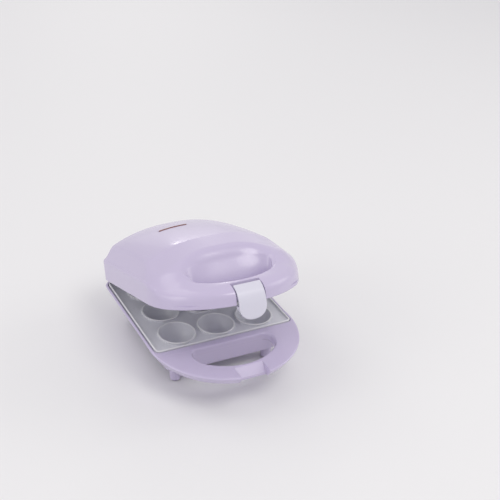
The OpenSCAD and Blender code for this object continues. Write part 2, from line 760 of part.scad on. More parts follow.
// Opening of the grip, with a finger scoop that is widest in the middle
module lid_opening() {
    translate([0, 0, lid_gap - 1]) linear_extrude(height = dome_h) opening(lid_opening_back);
    intersection() {
        translate([0, -handle_cy, lid_gap]) cylinder(h = dome_h, r = opening_r + 0.5, $fn = 120);
        translate([0, -scoop_y, scoop_z]) rotate([0, 90, 0]) rotate_extrude($fn = 96)
            polygon([[0, -50], [20, -50], [25, -45], [29, -38], [31.6, -30], [scoop_r - 0.7, -20],
                [scoop_r, -8],
                [scoop_r, 8], [scoop_r - 0.7, 20], [31.6, 30], [29, 38], [25, 45], [20, 50], [0, 50]]);
    }
}

module lid_shell() {
    color(lavender) on_lid() difference() {
        lid_block();
        difference() {
            lid_cavity();
            at_lid_screws() translate([0, 0, frame_lift + frame_t + 0.1]) cylinder(h = 40, r = 4.2);
        }
        lid_opening();
        translate([0, 0, lid_gap - 1]) linear_extrude(height = frame_lift + frame_t + 1.1 - lid_gap)
            difference() {
                outline(frame_slot);
                opening(lid_opening_back, wall_t);
            }
        translate([-latch_cut_half, -front_reach, 0])
            cube([2 * latch_cut_half, front_reach - latch_back, 40]);
        translate([0, -latch_pin_y, latch_pin_h]) x_rod(-latch_cut_half - 5, 2 * latch_cut_half + 10,
            latch_pin_d / 2 + 0.02);
        lens_block(0);
        for (s = [-1, 1]) translate([s * hinge_x - lug_w / 2 - 0.6, rear_y - 6, 0])
            cube([lug_w + 1.2, 8, 12.5]);
        translate([sleeve_x - sleeve_d / 2 - 1, rear_y - 6, 0]) cube([sleeve_d + 2, 8, hinge_h + 14]);
        at_lid_screws() cylinder(h = 12.3, r = screw_r + 0.1);
        at_tongues() translate([-4.8, 0, -seat_clear]) cube([9.6, 2.4, 1.6 + 2 * seat_clear]);
    }
}

module at_lid_screws() {
    for (a = [-60, -30, 30, 60]) translate([0, -handle_cy, 0]) rotate([0, 0, a - 90])
        translate([half_w - bar_w / 2 - 1.5, 0, 0]) children();
}

// Places of the two tongues that hold the rear of the frame in the rear wall
module at_tongues() {
    for (s = [-1, 1]) translate([s * half_pitch, rear_y - wall_t - 1.3, 12]) children();
}

module at_lens() {
    translate([lens_x, lens_y, dome(lens_x, lens_y)]) children();
}

module lens_block(clear) {
    at_lens() translate([-lens_l / 2 + clear, -lens_w / 2 + clear, -14])
        cube([lens_l - 2 * clear, lens_w - 2 * clear, 14.4]);
}

module indicator_lens() {
    color("#8a3f3a") on_lid() lens_block(seat_clear);
}

// Holder that is pressed onto the foot of the window and carries the two lamps
module lamp_holder() {
    color(pale) on_lid() at_lens() difference() {
        translate([-lens_l / 2 - 3, -lamp_case_w / 2, -lamp_foot])
            cube([lens_l + 6, lamp_case_w, lamp_case_h]);
        translate([-lens_l / 2, -lamp_bore / 2, -lamp_foot + 1.5]) cube([lens_l, lamp_bore, lamp_bore]);
        translate([-lens_l / 2, -lens_w / 2, lamp_case_h - lamp_foot - 3.5]) cube([lens_l, lens_w, 5]);
        for (s = [-1, 1]) translate([s * (lamp_half + 1), 0, -lamp_foot - 1]) cylinder(h = 4, r = 1);
    }
}

module neon_lamps() {
    color("#d98a5a") on_lid() at_lens()
        for (s = [-1, 1]) translate([s * lamp_half, 0, -lamp_foot + 4]) {
            x_rod(-5, 10, 2.4);
            x_rod(4, 2.2, 1);
        }
}

module lid_frame() {
    z0 = frame_lift;
    color(lavender) on_lid() difference() {
        union() {
            translate([0, 0, z0]) linear_extrude(height = frame_t) difference() {
                outline(frame_slot + frame_clear);
                plate_plan(plate_clear);
                opening(lid_opening_back, wall_t + frame_clear);
                translate([-latch_cut_half - 0.4, -front_reach])
                    square([2 * latch_cut_half + 0.8, front_reach - latch_back + 1.5]);
            }
            for (s = [-1, 1]) {
                frame_post(s, -tub_front + 1.6, -plate_front - plate_clear - 0.3, -boss_y_front + 5.5);
                frame_post(s, plate_rear + plate_clear + 0.3, rear_y - wall_t - 1.2, boss_y_rear - 5.5);
                translate([s * hinge_x, 0, 0])
                    eye(lug_w, 6, [[hinge_y - 2, hinge_h + 5.5], [hinge_y, hinge_h - 6],
                    [rear_y - 3, frame_lift], [rear_y - 7, frame_lift], [rear_y - 7, hinge_h + 5.5]]);
            }
            at_tongues() translate([-4.5, -1, 0]) cube([9, 3.2, 1.6]);
        }
        for (s = [-1, 1]) translate([0, hinge_y, hinge_h])
            x_rod(s * hinge_x - 10, 20, hinge_pin_d / 2 + pin_clear);
        at_bosses() translate([0, 0, 10]) cylinder(h = 20, r = screw_r + 0.4);
        at_lid_screws() translate([0, 0, 0]) cylinder(h = 10, r = screw_r + 0.3);
        at_lid_screws() translate([0, 0, z0 - 1]) cylinder(h = 1.9, r = head_r + 0.2);
    }
}

// Post beside the plate with a shelf over the plate's boss
module frame_post(s, y0, y1, y2) {
    w = 13;
    x = s * half_pitch - w / 2;
    translate([x, y0, frame_lift]) cube([w, y1 - y0, lid_boss_h + shelf_t - frame_lift]);
    translate([x, min(y0, y2), lid_boss_h]) cube([w, max(y1, y2) - min(y0, y2), shelf_t]);
}

module lid_screws() {
    color(steel) on_lid() at_lid_screws() translate([0, 0, frame_lift + 0.85])
        screw(screw_r, head_r, 0.8, 8.5);
}

// The upper plate and what is fixed to it are the lower ones turned over
module turned() {
    on_lid() translate([0, 0, plate_stand + plate_gap]) mirror([0, 0, 1]) children();
}

module upper_plate() {
    color(coat) turned() cooking_plate();
}

module upper_heater() {
    color(steel) turned() heater();
}

module upper_clamps() {
    color(steel) turned() clamps();
}

module upper_clamp_screws() {
    color(steel) turned() clamp_screws();
}

module upper_plate_screws() {
    color(steel) turned() plate_screws();
}

module upper_shield() {
    color(steel) turned() shield();
}

module thermostat() {
    color(black) turned() {
        sensor_flange(thermostat_r, thermostat_h);
        at_sensor() for (s = [-1, 1])
            translate([s * (thermostat_r - 4) - 2.4, -0.4,
                -ring_h - plate_t - 2 - seat_clear - thermostat_h - blade_h])
                cube([4.8, 0.8, blade_h + 0.2]);
    }
}

module thermostat_screws() {
    color(steel) turned() at_sensor() for (s = [-1, 1])
        translate([s * sensor_half, 0, -ring_h - plate_t - 2 - seat_clear - 1.05]) screw(1, 2.2, 1.4, 4);
}

// Side view of the latch: a plate that follows the grip, with a hook turned in at the foot
module latch_profile() {
    f = lid_reach;
    g = ramp_front;
    foot = -latch_drop;
    outer = [for (d = [8:-2:0]) [-f + d - 0.2, grip_edge(d) + 0.25]];
    inner = [for (d = [2:2:8]) [-f + d + latch_t * 0.85 - 0.25 * d / 8,
        grip_edge(d) - latch_t * (0.2 + 0.08 * d)]];
    polygon(concat(outer, [[-f - 0.4, grip_face_h - 1.5], [-g - 1 - latch_t + 0.7, 0],
        [-g - 1 - latch_t, -6],
        [-g - 1 - latch_t, foot + 3], [-g - latch_t, foot + 0.8], [-g - latch_t + 2, foot],
        [-g + 3.4, foot], [-g + 4.2, foot + 0.8], [-g + 4.2, foot + 3.3], [-g + 3, foot + 3.3],
        [-g + 2.2, foot + 2.3], [-g - 0.2, foot + 2.3], [-g - 1, foot + 3.4], [-g - 1, -6],
        [-g - 0.3, 0], [-f + latch_t * 0.85, grip_face_h - 2]], inner));
    translate([-latch_pin_y, latch_pin_h]) circle(r = latch_pin_d / 2 + 1.7);
}

module latch() {
    w = latch_w / 2;
    r = w - 1.5;
    color(pale) on_lid() difference() {
        intersection() {
            rotate([90, 0, 90]) translate([0, 0, -w]) linear_extrude(height = latch_w) latch_profile();
            translate([0, -lid_reach + 30, 0]) rotate([90, 0, 0]) linear_extrude(height = 60) {
                translate([-w, -latch_drop + r]) square([2 * w, 60]);
                translate([-w + r, -latch_drop - 1]) square([2 * (w - r), 60]);
                for (s = [-1, 1]) translate([s * (w - r), -latch_drop + r]) circle(r = r);
            }
        }
        translate([0, -latch_pin_y, latch_pin_h]) x_rod(-30, 60, latch_pin_d / 2 + pin_clear);
    }
}

module latch_pin() {
    color(steel) on_lid() translate([0, -latch_pin_y, latch_pin_h])
        x_rod(-latch_cut_half - 4.5, 2 * latch_cut_half + 9, latch_pin_d / 2);
}

base_shell();
bottom_cover();
foot_pads();
cover_screws();
lower_plate();
lower_plate_screws();
lower_heater();
lower_clamps();
lower_clamp_screws();
lower_shield();
thermal_fuse();
fuse_clip();
fuse_screws();
terminal_block();
cord_bush();
hinge_pins();
base_sleeve();
lid_shell();
lid_frame();
lid_screws();
upper_plate();
upper_plate_screws();
upper_heater();
upper_clamps();
upper_clamp_screws();
upper_shield();
thermostat();
thermostat_screws();
indicator_lens();
lamp_holder();
neon_lamps();
lid_sleeve();
latch();
latch_pin();
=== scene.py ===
# %% [markdown]
# # A cake pop maker
#
# The CAD model already has every piece at its true size. This lesson dresses it: the plastic mouldings get
# their soft edges, the plates their coating, and small repeated pieces are grown by Geometry Nodes.
# Every length below is in millimetres until a mesh is made, because that is how a mould is drawn.

import json
import math
import time
from itertools import combinations

import bpy
import numpy as np
from mathutils import Euler, Matrix, Vector


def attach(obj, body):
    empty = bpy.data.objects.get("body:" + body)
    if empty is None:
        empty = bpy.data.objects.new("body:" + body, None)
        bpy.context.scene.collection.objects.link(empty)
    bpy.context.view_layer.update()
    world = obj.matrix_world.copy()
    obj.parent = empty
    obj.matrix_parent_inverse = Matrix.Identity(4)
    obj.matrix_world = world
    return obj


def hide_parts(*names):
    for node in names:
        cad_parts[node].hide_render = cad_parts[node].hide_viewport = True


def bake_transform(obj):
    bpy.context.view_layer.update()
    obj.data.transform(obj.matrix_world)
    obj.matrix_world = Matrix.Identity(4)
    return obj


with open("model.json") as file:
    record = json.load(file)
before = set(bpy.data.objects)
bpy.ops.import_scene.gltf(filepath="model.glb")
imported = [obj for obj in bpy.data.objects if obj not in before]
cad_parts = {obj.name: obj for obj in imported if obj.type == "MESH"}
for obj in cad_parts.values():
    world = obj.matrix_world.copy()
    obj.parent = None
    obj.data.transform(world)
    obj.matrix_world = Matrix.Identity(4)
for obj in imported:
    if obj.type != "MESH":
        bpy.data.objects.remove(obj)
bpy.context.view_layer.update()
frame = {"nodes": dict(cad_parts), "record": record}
started = time.time()

# %% [markdown]
# ## Two ways to hold the lid
#
# Mouldings are drawn about the middle well with the lid shut: x across, y towards the hinge, z up from the
# rim of the base. The base is only shifted into the model's frame. The lid is also turned about the hinge,
# because it stands ajar. Keeping both as 4 x 4 matrices lets one formula describe a piece once, in the
# position where its numbers are simple.

# %% From the drawing to the model
MM = 0.001
RIM_Z = 43.0
SHIFT_Y = 22.15
HINGE_Y = 86.0
HINGE_Z = 4.0
AJAR = math.radians(19)
LID_FRONT_Y = -128.5
LID_EDGE_Z = 0.8

base_place = Matrix.Translation((0, SHIFT_Y * MM, RIM_Z * MM)) @ Matrix.Scale(MM, 4)
lid_place = (
    base_place
    @ Matrix.Translation((0, HINGE_Y, HINGE_Z))
    @ Matrix.Rotation(-AJAR, 4, "X")
    @ Matrix.Translation((0, -HINGE_Y, -HINGE_Z))
)
front_edge = lid_place @ Vector((0, LID_FRONT_Y, LID_EDGE_Z))
print("lid's front edge stands", round(front_edge.z / MM, 1), "mm above the table")

# %% [markdown]
# ## Rounding without a bevel tool
#
# A moulded part has a small radius on every edge, since plastic doesn't fill a sharp corner. Bevels on a
# mesh full of cuts break easily. Here a solid is instead a field: a function that is negative inside the
# plastic and positive outside. Two fields meet in a rounded corner with one line of algebra, however
# complicated the two surfaces are. The mesh is only made at the end, where the field is zero.

# %% Rounded corners, joins and cuts
def rounded_corner(a, b, radius):
    """Where both fields are negative, with the outside corner rounded."""
    over = np.hypot(np.maximum(a + radius, 0), np.maximum(b + radius, 0))
    return np.minimum(-radius, np.maximum(a, b)) + over


def rounded_join(a, b, radius):
    """Where either field is negative, with the inside corner filled to a radius."""
    return -rounded_corner(-a, -b, radius)


def rounded_cut(a, b, radius):
    """Field a with b taken away, and the lip of the cut rounded."""
    return rounded_corner(a, -b, radius)


shaved = rounded_corner(-0.5, -0.5, radius=2)
print(f"0.5 mm inside two walls, a corner of radius 2 mm has already ended by {shaved:.2f} mm")

# %% [markdown]
# ## Three more shapes to draw with
#
# A soft step from 0 to 1 lets one form pass into another. A rounded rectangle is the plan of the plate, the
# opening and the window. The distance from a straight line gives arms, and side views made of short lines.

# %% A soft step, a rounded rectangle and a line
def ease(t):
    c = np.clip(t, 0, 1)
    return c * c * (3 - 2 * c)


def rounded_box_2d(x, y, x_half, y_low, y_high, corner):
    """Distance from a rounded rectangle, negative inside it."""
    qx = np.abs(x) - (x_half - corner)
    qy = np.abs(y - (y_low + y_high) / 2) - ((y_high - y_low) / 2 - corner)
    return np.hypot(np.maximum(qx, 0), np.maximum(qy, 0)) + np.minimum(np.maximum(qx, qy), 0) - corner


def from_line(x, y, a, b):
    """Distance from the straight line between two points."""
    ex, ey = b[0] - a[0], b[1] - a[1]
    t = np.clip(((x - a[0]) * ex + (y - a[1]) * ey) / (ex * ex + ey * ey), 0, 1)
    return np.hypot(x - a[0] - t * ex, y - a[1] - t * ey)


print("a quarter of the way, the soft step has reached", ease(0.25))

# %% [markdown]
# ## Points that lie on the surface
#
# A mesh made on a grid is only nearly right. The field says how far off each point is, and its slope says
# in which direction, so a few short steps put every point on the true surface.

# %% Slope of a field, and points that settle on it
def slope_of(field, points, step=0.02):
    """The field's gradient, measured a little way to each side."""
    gradient = np.empty_like(points)
    for axis in range(3):
        ahead, behind = points.copy(), points.copy()
        ahead[:, axis] += step
        behind[:, axis] -= step
        gradient[:, axis] = (field(*ahead.T) - field(*behind.T)) / (2 * step)
    return gradient


def settle(field, points, reach, rounds=3, least=0.04):
    """Moves points along the gradient until they lie on the field's zero, by short steps only."""
    for _ in range(rounds):
        gradient = slope_of(field, points)
        size = np.maximum((gradient**2).sum(1), least)
        step = (field(*points.T) / size)[:, None] * gradient
        length = np.linalg.norm(step, axis=1, keepdims=True)
        points = points - step * np.minimum(1, reach / np.maximum(length, 1e-9))
    return points


def ball_field(x, y, z):
    return np.sqrt(x**2 + y**2 + z**2) - 10


landed = settle(ball_field, np.array([[9.0, 6.0, 2.0]]), reach=2)
print("a point 1 mm outside a ball ends", round(float(ball_field(*landed[0])), 6), "mm from it")

# %% [markdown]
# ## A net over the surface
#
# Surface nets cut the space into cells. Each cell that the surface passes through gets one point, in the
# middle of the places where its edges are crossed, and every crossed edge gets a face from the four cells
# that share it. That makes even quads and closed surfaces.

# %% Surface nets
CORNERS = [(i, j, k) for i in (0, 1) for j in (0, 1) for k in (0, 1)]


def points_in_cells(value, cells):
    """For each cell, the mean of the places where its twelve edges cross the surface."""
    held = np.stack([value[cells[:, 0] + i, cells[:, 1] + j, cells[:, 2] + k] for i, j, k in CORNERS], 1)
    total = np.zeros((len(cells), 3))
    crossings = np.zeros(len(cells))
    for a, b in combinations(range(8), 2):
        one, other = np.array(CORNERS[a]), np.array(CORNERS[b])
        if np.abs(one - other).sum() != 1:
            continue
        crossed = (held[:, a] < 0) != (held[:, b] < 0)
        t = np.where(crossed, held[:, a] / np.where(crossed, held[:, a] - held[:, b], 1), 0)
        along = one + t[:, None] * (other - one)
        total += along * crossed[:, None]
        crossings += crossed
    return cells + total / crossings[:, None]


def faces_between(inside, number):
    """A face for every crossed edge of the grid, turned so that it looks outwards."""
    size = number.shape
    quads = []
    for axis in range(3):
        u, v = (axis + 1) % 3, (axis + 2) % 3
        edges = np.argwhere(inside != np.roll(inside, -1, axis))
        edges = edges[(edges[:, axis] < size[axis]) & (edges[:, u] > 0) & (edges[:, v] > 0)]
        edges = edges[(edges[:, u] < size[u]) & (edges[:, v] < size[v])]
        back_u, back_v = np.eye(3, dtype=int)[u], np.eye(3, dtype=int)[v]
        ring = [edges, edges - back_u, edges - back_u - back_v, edges - back_v]
        quad = np.stack([number[tuple(r.T)] for r in ring], 1)
        leaving = inside[tuple(edges.T)]
        quads.append(np.where(leaving[:, None], quad, quad[:, ::-1]))
    return np.concatenate(quads)


def surface_of(field, low, high, cell):
    """Points and quads of the surface where the field is zero."""
    axes = [np.arange(a - cell, b + 2 * cell, cell) for a, b in zip(low, high)]
    value = field(*np.ix_(*axes)).astype(np.float32)
    value = np.broadcast_to(value, [len(a) for a in axes])
    inside = value < 0
    size = [len(a) - 1 for a in axes]
    count = np.zeros(size, np.uint8)
    for i, j, k in CORNERS:
        count += inside[i : i + size[0], j : j + size[1], k : k + size[2]]
    cells = np.argwhere((count > 0) & (count < 8))
    number = np.full(size, -1, np.int32)
    number[tuple(cells.T)] = np.arange(len(cells))
    points = np.array([a[0] for a in axes]) + points_in_cells(value, cells) * cell
    return points, faces_between(inside, number)


ball_points, ball_quads = surface_of(ball_field, (-10, -10, -10), (10, 10, 10), 1.0)
print("a ball of 10 mm in cells of 1 mm:", len(ball_points), "points,", len(ball_quads), "faces")

# %% [markdown]
# ## From arrays to an object
#
# Blender reads whole arrays of points and faces at once, which is much quicker than adding them singly.
# A modifier's result is taken from the evaluated object, and kept as a plain mesh.

# %% Meshes in and out of arrays
def mesh_object(name, points, faces):
    mesh = bpy.data.meshes.new(name)
    mesh.vertices.add(len(points))
    mesh.vertices.foreach_set("co", np.ascontiguousarray(points, np.float32).ravel())
    width = faces.shape[1]
    mesh.loops.add(faces.size)
    mesh.loops.foreach_set("vertex_index", np.ascontiguousarray(faces, np.int32).ravel())
    mesh.polygons.add(len(faces))
    mesh.polygons.foreach_set("loop_start", np.arange(0, faces.size, width, dtype=np.int32))
    mesh.update(calc_edges=True)
    thing = bpy.data.objects.new(name, mesh)
    bpy.context.scene.collection.objects.link(thing)
    return thing


def as_plain_mesh(thing):
    """Applies the modifiers, and keeps one plain mesh."""
    evaluated = thing.evaluated_get(bpy.context.evaluated_depsgraph_get())
    mesh = bpy.data.meshes.new_from_object(evaluated)
    mesh.name = thing.name
    thing.modifiers.clear()
    thing.data = mesh
    return thing


def vertex_array(mesh):
    co = np.empty(len(mesh.vertices) * 3)
    mesh.vertices.foreach_get("co", co)
    return co.reshape(-1, 3)


def shade_smooth(mesh):
    mesh.polygons.foreach_set("use_smooth", [True] * len(mesh.polygons))


print("meshes:", len(bpy.data.meshes))

# %% [markdown]
# ## One moulding, start to end
#
# The net is thinned where it is flat, and its points settle once more. The normals come from the field's own
# slope, so a reflection runs over the thinned mesh without a ripple.

# %% A moulding
REACH_IN_CELLS = 0.5


def moulding(name, field, low, high, cell, keep, place):
    """A plain mesh of a field: keep is the share of the faces that stays."""
    cell = cell * 1
    points, quads = surface_of(field, low, high, cell)
    points = settle(field, points, cell * REACH_IN_CELLS)
    thing = mesh_object(name, points, quads)
    thin = thing.modifiers.new("thin", "DECIMATE")
    thin.ratio = keep
    as_plain_mesh(thing)
    points = settle(field, vertex_array(thing.data), cell * REACH_IN_CELLS, rounds=2)
    outward = slope_of(field, points)
    outward /= np.maximum(np.linalg.norm(outward, axis=1, keepdims=True), 1e-9)
    thing.data.vertices.foreach_set("co", points.ravel())
    thing.data.transform(place)
    if place.determinant() < 0:
        thing.data.flip_normals()
    shade_smooth(thing.data)
    turn = np.array(place.to_3x3().normalized())
    thing.data.normals_split_custom_set_from_vertices((outward @ turn.T).tolist())
    thing.data.update()
    print(f"{name}: {len(thing.data.polygons)} faces, at {time.time() - started:.0f} s")
    return thing


print("cells are", 1, "times their full size in this run")

# %% [markdown]
# ## Nodes in short lines
#
# Materials and Geometry Nodes are both trees. Three helpers build either kind: a group with named inputs, a
# node with its values and links, and a calculation on two sockets or numbers.

# %% A kit for node trees
def group_with(name, kind, inputs, outputs):
    """A node group with named inputs, which are all plain numbers, and named outputs."""
    group = bpy.data.node_groups.new(name, kind)
    for label, value in inputs.items():
        socket = group.interface.new_socket(label, in_out="INPUT", socket_type="NodeSocketFloat")
        socket.default_value = value
    for label, socket_type in outputs.items():
        group.interface.new_socket(label, in_out="OUTPUT", socket_type=socket_type)
    return group, group.nodes.new("NodeGroupInput"), group.nodes.new("NodeGroupOutput")


def node_with(tree, kind, links=(), values=None, **settings):
    """A new node with its settings, the plain values of its sockets, and the links into them."""
    made = tree.nodes.new(kind)
    for label, setting in settings.items():
        setattr(made, label, setting)
    for socket, value in (values or {}).items():
        made.inputs[socket].default_value = value
    for source, socket in links:
        tree.links.new(source, made.inputs[socket])
    return made


def maths(tree, operation, a, b=0.0):
    """The result of a Math node on two numbers, each plain or from a socket."""
    made = node_with(tree, "ShaderNodeMath", operation=operation)
    for socket, value in zip(made.inputs, (a, b)):
        if isinstance(value, bpy.types.NodeSocket):
            tree.links.new(value, socket)
        else:
            socket.default_value = value
    return made.outputs[0]


print("node groups:", len(bpy.data.node_groups))

# %% [markdown]
# ## Plastic, coating and metal
#
# The mouldings are gloss polypropylene in one pale colour. Real gloss plastic isn't a mirror: it carries a
# faint unevenness from the mould, which breaks up reflections. One small node group gives that unevenness
# as a normal, and nearly all the materials share it, each at its own scale. It is read in Object
# coordinates, so it stays on the piece when the lid moves.

# %% The unevenness of a moulded or cast surface
uneven, uneven_in, uneven_out = group_with(
    "mould unevenness", "ShaderNodeTree", {"Scale": 60.0, "Height": 0.05}, {"Normal": "NodeSocketVector"}
)
where = node_with(uneven, "ShaderNodeTexCoord")
noise = node_with(
    uneven,
    "ShaderNodeTexNoise",
    [(where.outputs["Object"], "Vector"), (uneven_in.outputs["Scale"], "Scale")],
    {"Detail": 3.0},
)
bump = node_with(
    uneven,
    "ShaderNodeBump",
    [(noise.outputs["Fac"], "Height"), (uneven_in.outputs["Height"], "Strength")],
    {"Distance": 0.4 * MM},
)
uneven.links.new(bump.outputs["Normal"], uneven_out.inputs["Normal"])
print("shared group:", uneven.name, "with", len(uneven.nodes), "nodes")

# %% [markdown]
# ## One material at a time
#
# Every finish is the Principled shader with its own colour, roughness and coat. Gloss plastic gets a thin
# clear coat, metal is dark and fully metallic, and rubber is nearly matt. The colours were set so that the
# lit and the shaded sides of the render agree with the photo's tones.

# %% A finish, and the finishes of all slots
COAT_ROUGHNESS = 0.08
finishes = {}


def finish(name, colour, roughness, metallic=0.0, coat=0.0, scale=60.0, height=0.05):
    """A material with the shared unevenness, kept under its name."""
    material = bpy.data.materials.new(name)
    material.use_nodes = True
    shader = material.node_tree.nodes["Principled BSDF"]
    shader.inputs["Base Color"].default_value = (*colour, 1.0)
    shader.inputs["Roughness"].default_value = roughness
    shader.inputs["Metallic"].default_value = metallic
    shader.inputs["Coat Weight"].default_value = coat
    shader.inputs["Coat Roughness"].default_value = COAT_ROUGHNESS
    if height:
        wave = node_with(material.node_tree, "ShaderNodeGroup", node_tree=uneven)
        wave.inputs["Scale"].default_value = scale
        wave.inputs["Height"].default_value = height
        material.node_tree.links.new(wave.outputs["Normal"], shader.inputs["Normal"])
    finishes[name] = material
    return material


COATING_FLOOR = (0.66, 0.665, 0.715)
# The lighter colour is a painted highlight on the raised rings and the rim, where they catch the light.
COATING_PAINTED_HIGHLIGHT = (0.74, 0.74, 0.77)
finish("lavender_plastic", (0.545, 0.485, 0.665), 0.26, coat=0.3, scale=45, height=0.06)
finish("latch_plastic", (0.67, 0.66, 0.76), 0.26, coat=0.3, scale=45)
finish("foot_rubber", (0.025, 0.025, 0.028), 0.7, scale=900, height=0.3)
finish("steel", (0.56, 0.57, 0.58), 0.34, metallic=1.0, scale=400, height=0.1)
finish("element_steel", (0.30, 0.30, 0.31), 0.45, metallic=1.0, scale=400, height=0.15)
finish("coated_aluminium", COATING_FLOOR, 0.36, coat=0.1, scale=700, height=0.12)
finish("heat_resistant_white", (0.78, 0.77, 0.73), 0.5)
finish("grey_rubber", (0.33, 0.32, 0.36), 0.55, scale=500, height=0.15)
finish("black_phenolic", (0.02, 0.02, 0.022), 0.4)
finish("window_plastic", (0.16, 0.018, 0.016), 0.12, coat=0.6, height=0)
finish("lamp_glass", (0.8, 0.42, 0.25), 0.08, height=0)
print("materials:", ", ".join(finishes))

# %% [markdown]
# ### A painted highlight on the coating's lands
#
# The raised rings and the rim catch the light, so a painted highlight brightens the coating there. The height
# over the table picks them out on the lower plate. The upper plate hangs higher, and a second limit leaves it
# plain.

# %% A mask from the height for the painted highlight, and its place in the coating
FACTOR, COLOUR_A, COLOUR_B, COLOUR_OUT = 0, 6, 7, 2  # sockets of a Mix node that is set to colours
# Above this height the painted highlight stops, so the upper plate gets none.
PAINTED_HIGHLIGHT_END = 46 * MM

lands, lands_in, lands_out = group_with(
    "raised lands", "ShaderNodeTree", {"From": 42.7 * MM, "To": 43.6 * MM}, {"Mask": "NodeSocketFloat"}
)
where = node_with(lands, "ShaderNodeTexCoord")
split = node_with(lands, "ShaderNodeSeparateXYZ", [(where.outputs["Object"], 0)])
height = split.outputs["Z"]
rise = node_with(
    lands,
    "ShaderNodeMapRange",
    [(height, "Value"), (lands_in.outputs["From"], "From Min"), (lands_in.outputs["To"], "From Max")],
)
highlight_mask = maths(lands, "MULTIPLY", rise.outputs[0], maths(lands, "LESS_THAN", height, PAINTED_HIGHLIGHT_END))
lands.links.new(highlight_mask, lands_out.inputs["Mask"])

coat_tree = finishes["coated_aluminium"].node_tree
highlight_node = node_with(coat_tree, "ShaderNodeGroup", node_tree=lands)
tone = node_with(coat_tree, "ShaderNodeMix", [(highlight_node.outputs["Mask"], FACTOR)], data_type="RGBA")
tone.inputs[COLOUR_A].default_value = (*COATING_FLOOR, 1.0)
# Painted highlight: the masked rings and rim get the lighter colour.
tone.inputs[COLOUR_B].default_value = (*COATING_PAINTED_HIGHLIGHT, 1.0)
coat_tree.links.new(tone.outputs[COLOUR_OUT], coat_tree.nodes["Principled BSDF"].inputs["Base Color"])
print("the coating brightens from", COATING_FLOOR, "to", COATING_PAINTED_HIGHLIGHT)

# %% [markdown]
# ## Who wears what
#
# The record gives each CAD node the slot of its material. A piece made here gets the material of its slot and
# its body with one call, which also hides the CAD nodes that it stands for.

# %% Materials onto the CAD nodes, and the helper for new pieces
slot_of = {s["node"]: s["material_slot"] for s in frame["record"]["subparts"]}


def wear(thing, slot):
    thing.data.materials.clear()
    thing.data.materials.append(finishes[slot])


def dress(thing, slot, body, *nodes):
    """Gives a finished piece the material of its slot and its body, and hides the CAD nodes that it stands
    for.
    """
    wear(thing, slot)
    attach(thing, body)
    if nodes:
        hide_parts(*nodes)


for node, thing in frame["nodes"].items():
    wear(thing, slot_of[node])
print("dressed", len(slot_of), "CAD nodes")

# %% [markdown]
# ## The lid
#
# The lid is one moulding: an upright band, a slanted side above it, a low dome, and at the front a grip
# whose face rolls over to a thin edge. Seen from above it is a rectangle with round rear corners, closed in
# front by the arc that the side of the handle follows and by a flatter arc across its nose.

# %% Plan of the lid
HALF_W = 78.5
REAR_Y = 79.0
CORNER_R = 15.0
HANDLE_CY = 58.0
FRONT_R = 100.0
FRONT_OFFSET = 29.5
NOSE_BLEND_R = 10.0
BEYOND_FRONT = -200.0


def lid_plan(x, y):
    """Distance out from the lid's plan, negative inside it."""
    rear = rounded_box_2d(x, y, HALF_W, BEYOND_FRONT, REAR_Y, CORNER_R)
    disc = np.hypot(x, y + HANDLE_CY) - HALF_W
    arc = np.hypot(x, y + HANDLE_CY - FRONT_OFFSET) - FRONT_R
    return np.where(y < -HANDLE_CY, rounded_corner(disc, arc, NOSE_BLEND_R), rear)


print("the lid's front edge is", round(float(lid_plan(0.0, LID_FRONT_Y)), 2), "mm from the plan's edge")

# %% [markdown]
# ### Its height
#
# The height over each point of the plan is a formula of y and of the distance in from the edge. Along the
# middle the dome falls in a curve, then in a straight slope from the crease, and levels out on the grip.
# The grip's face is full in the middle and rolls down faster and faster towards its edge. Where the side
# meets the dome, the smaller of two heights is taken with a blend, not with a hard minimum.

# %% Height of the lid
BAND_Z = 23.5
DOME_Z = 54.7
DOME_TOP_Y = 10.0
DOME_CURVE = 0.00125
REAR_FALL, REAR_FALL_RUN, REAR_FALL_POWER = 4.5, 58.0, 2.2
CREASE_Y = -39.0
FRONT_SLOPE = 0.245
LEVEL_Y, LEVEL_RUN = -66.0, 44.0
SIDE_FALL, SIDE_FALL_MORE, SIDE_FALL_POWER = 0.58, 0.17, 2.5
FALL_Y, FALL_RUN = -30.0, 40.0
DOME_HALF_W = 70.0
SLANT_IN, SLANT_RISE, SLANT_RUN, SLANT_POWER = 2.0, 11.2, 8.0, 1.11
GRIP_Z = 22.5
GRIP_FACE_Z = 12.0
GRIP_ROLL_W = 22.0
GRIP_ROLL_POWER = 1.9
GRIP_FOLLOWS_DOME = 0.8
GRIP_INNER_SLOPE = 2.0
EDGE_CHANGE_RUN = 35.0
BLEND, BLEND_MORE = 2.5, 4.5
BLEND_Y, BLEND_RUN = -42.0, 30.0


def middle_height(y):
    """Height along the middle line, from the rear to the grip."""
    back = DOME_Z - REAR_FALL * (np.maximum(y - DOME_TOP_Y, 0) / REAR_FALL_RUN) ** REAR_FALL_POWER
    top = DOME_Z - DOME_CURVE * np.maximum(DOME_TOP_Y - y, 0) ** 2
    crease = DOME_Z - DOME_CURVE * (DOME_TOP_Y - CREASE_Y) ** 2
    before = crease - FRONT_SLOPE * (CREASE_Y - y)
    before = before + (GRIP_Z - before) * ease((LEVEL_Y - y) / LEVEL_RUN)
    return np.where(y > DOME_TOP_Y, back, np.where(y > CREASE_Y, top, before))


def grip_roll(d, top=GRIP_Z):
    """Height of the grip's face at the distance d in from the edge, below the given top."""
    return top - (top - GRIP_FACE_Z) * (np.maximum(GRIP_ROLL_W - d, 0) / GRIP_ROLL_W) ** GRIP_ROLL_POWER


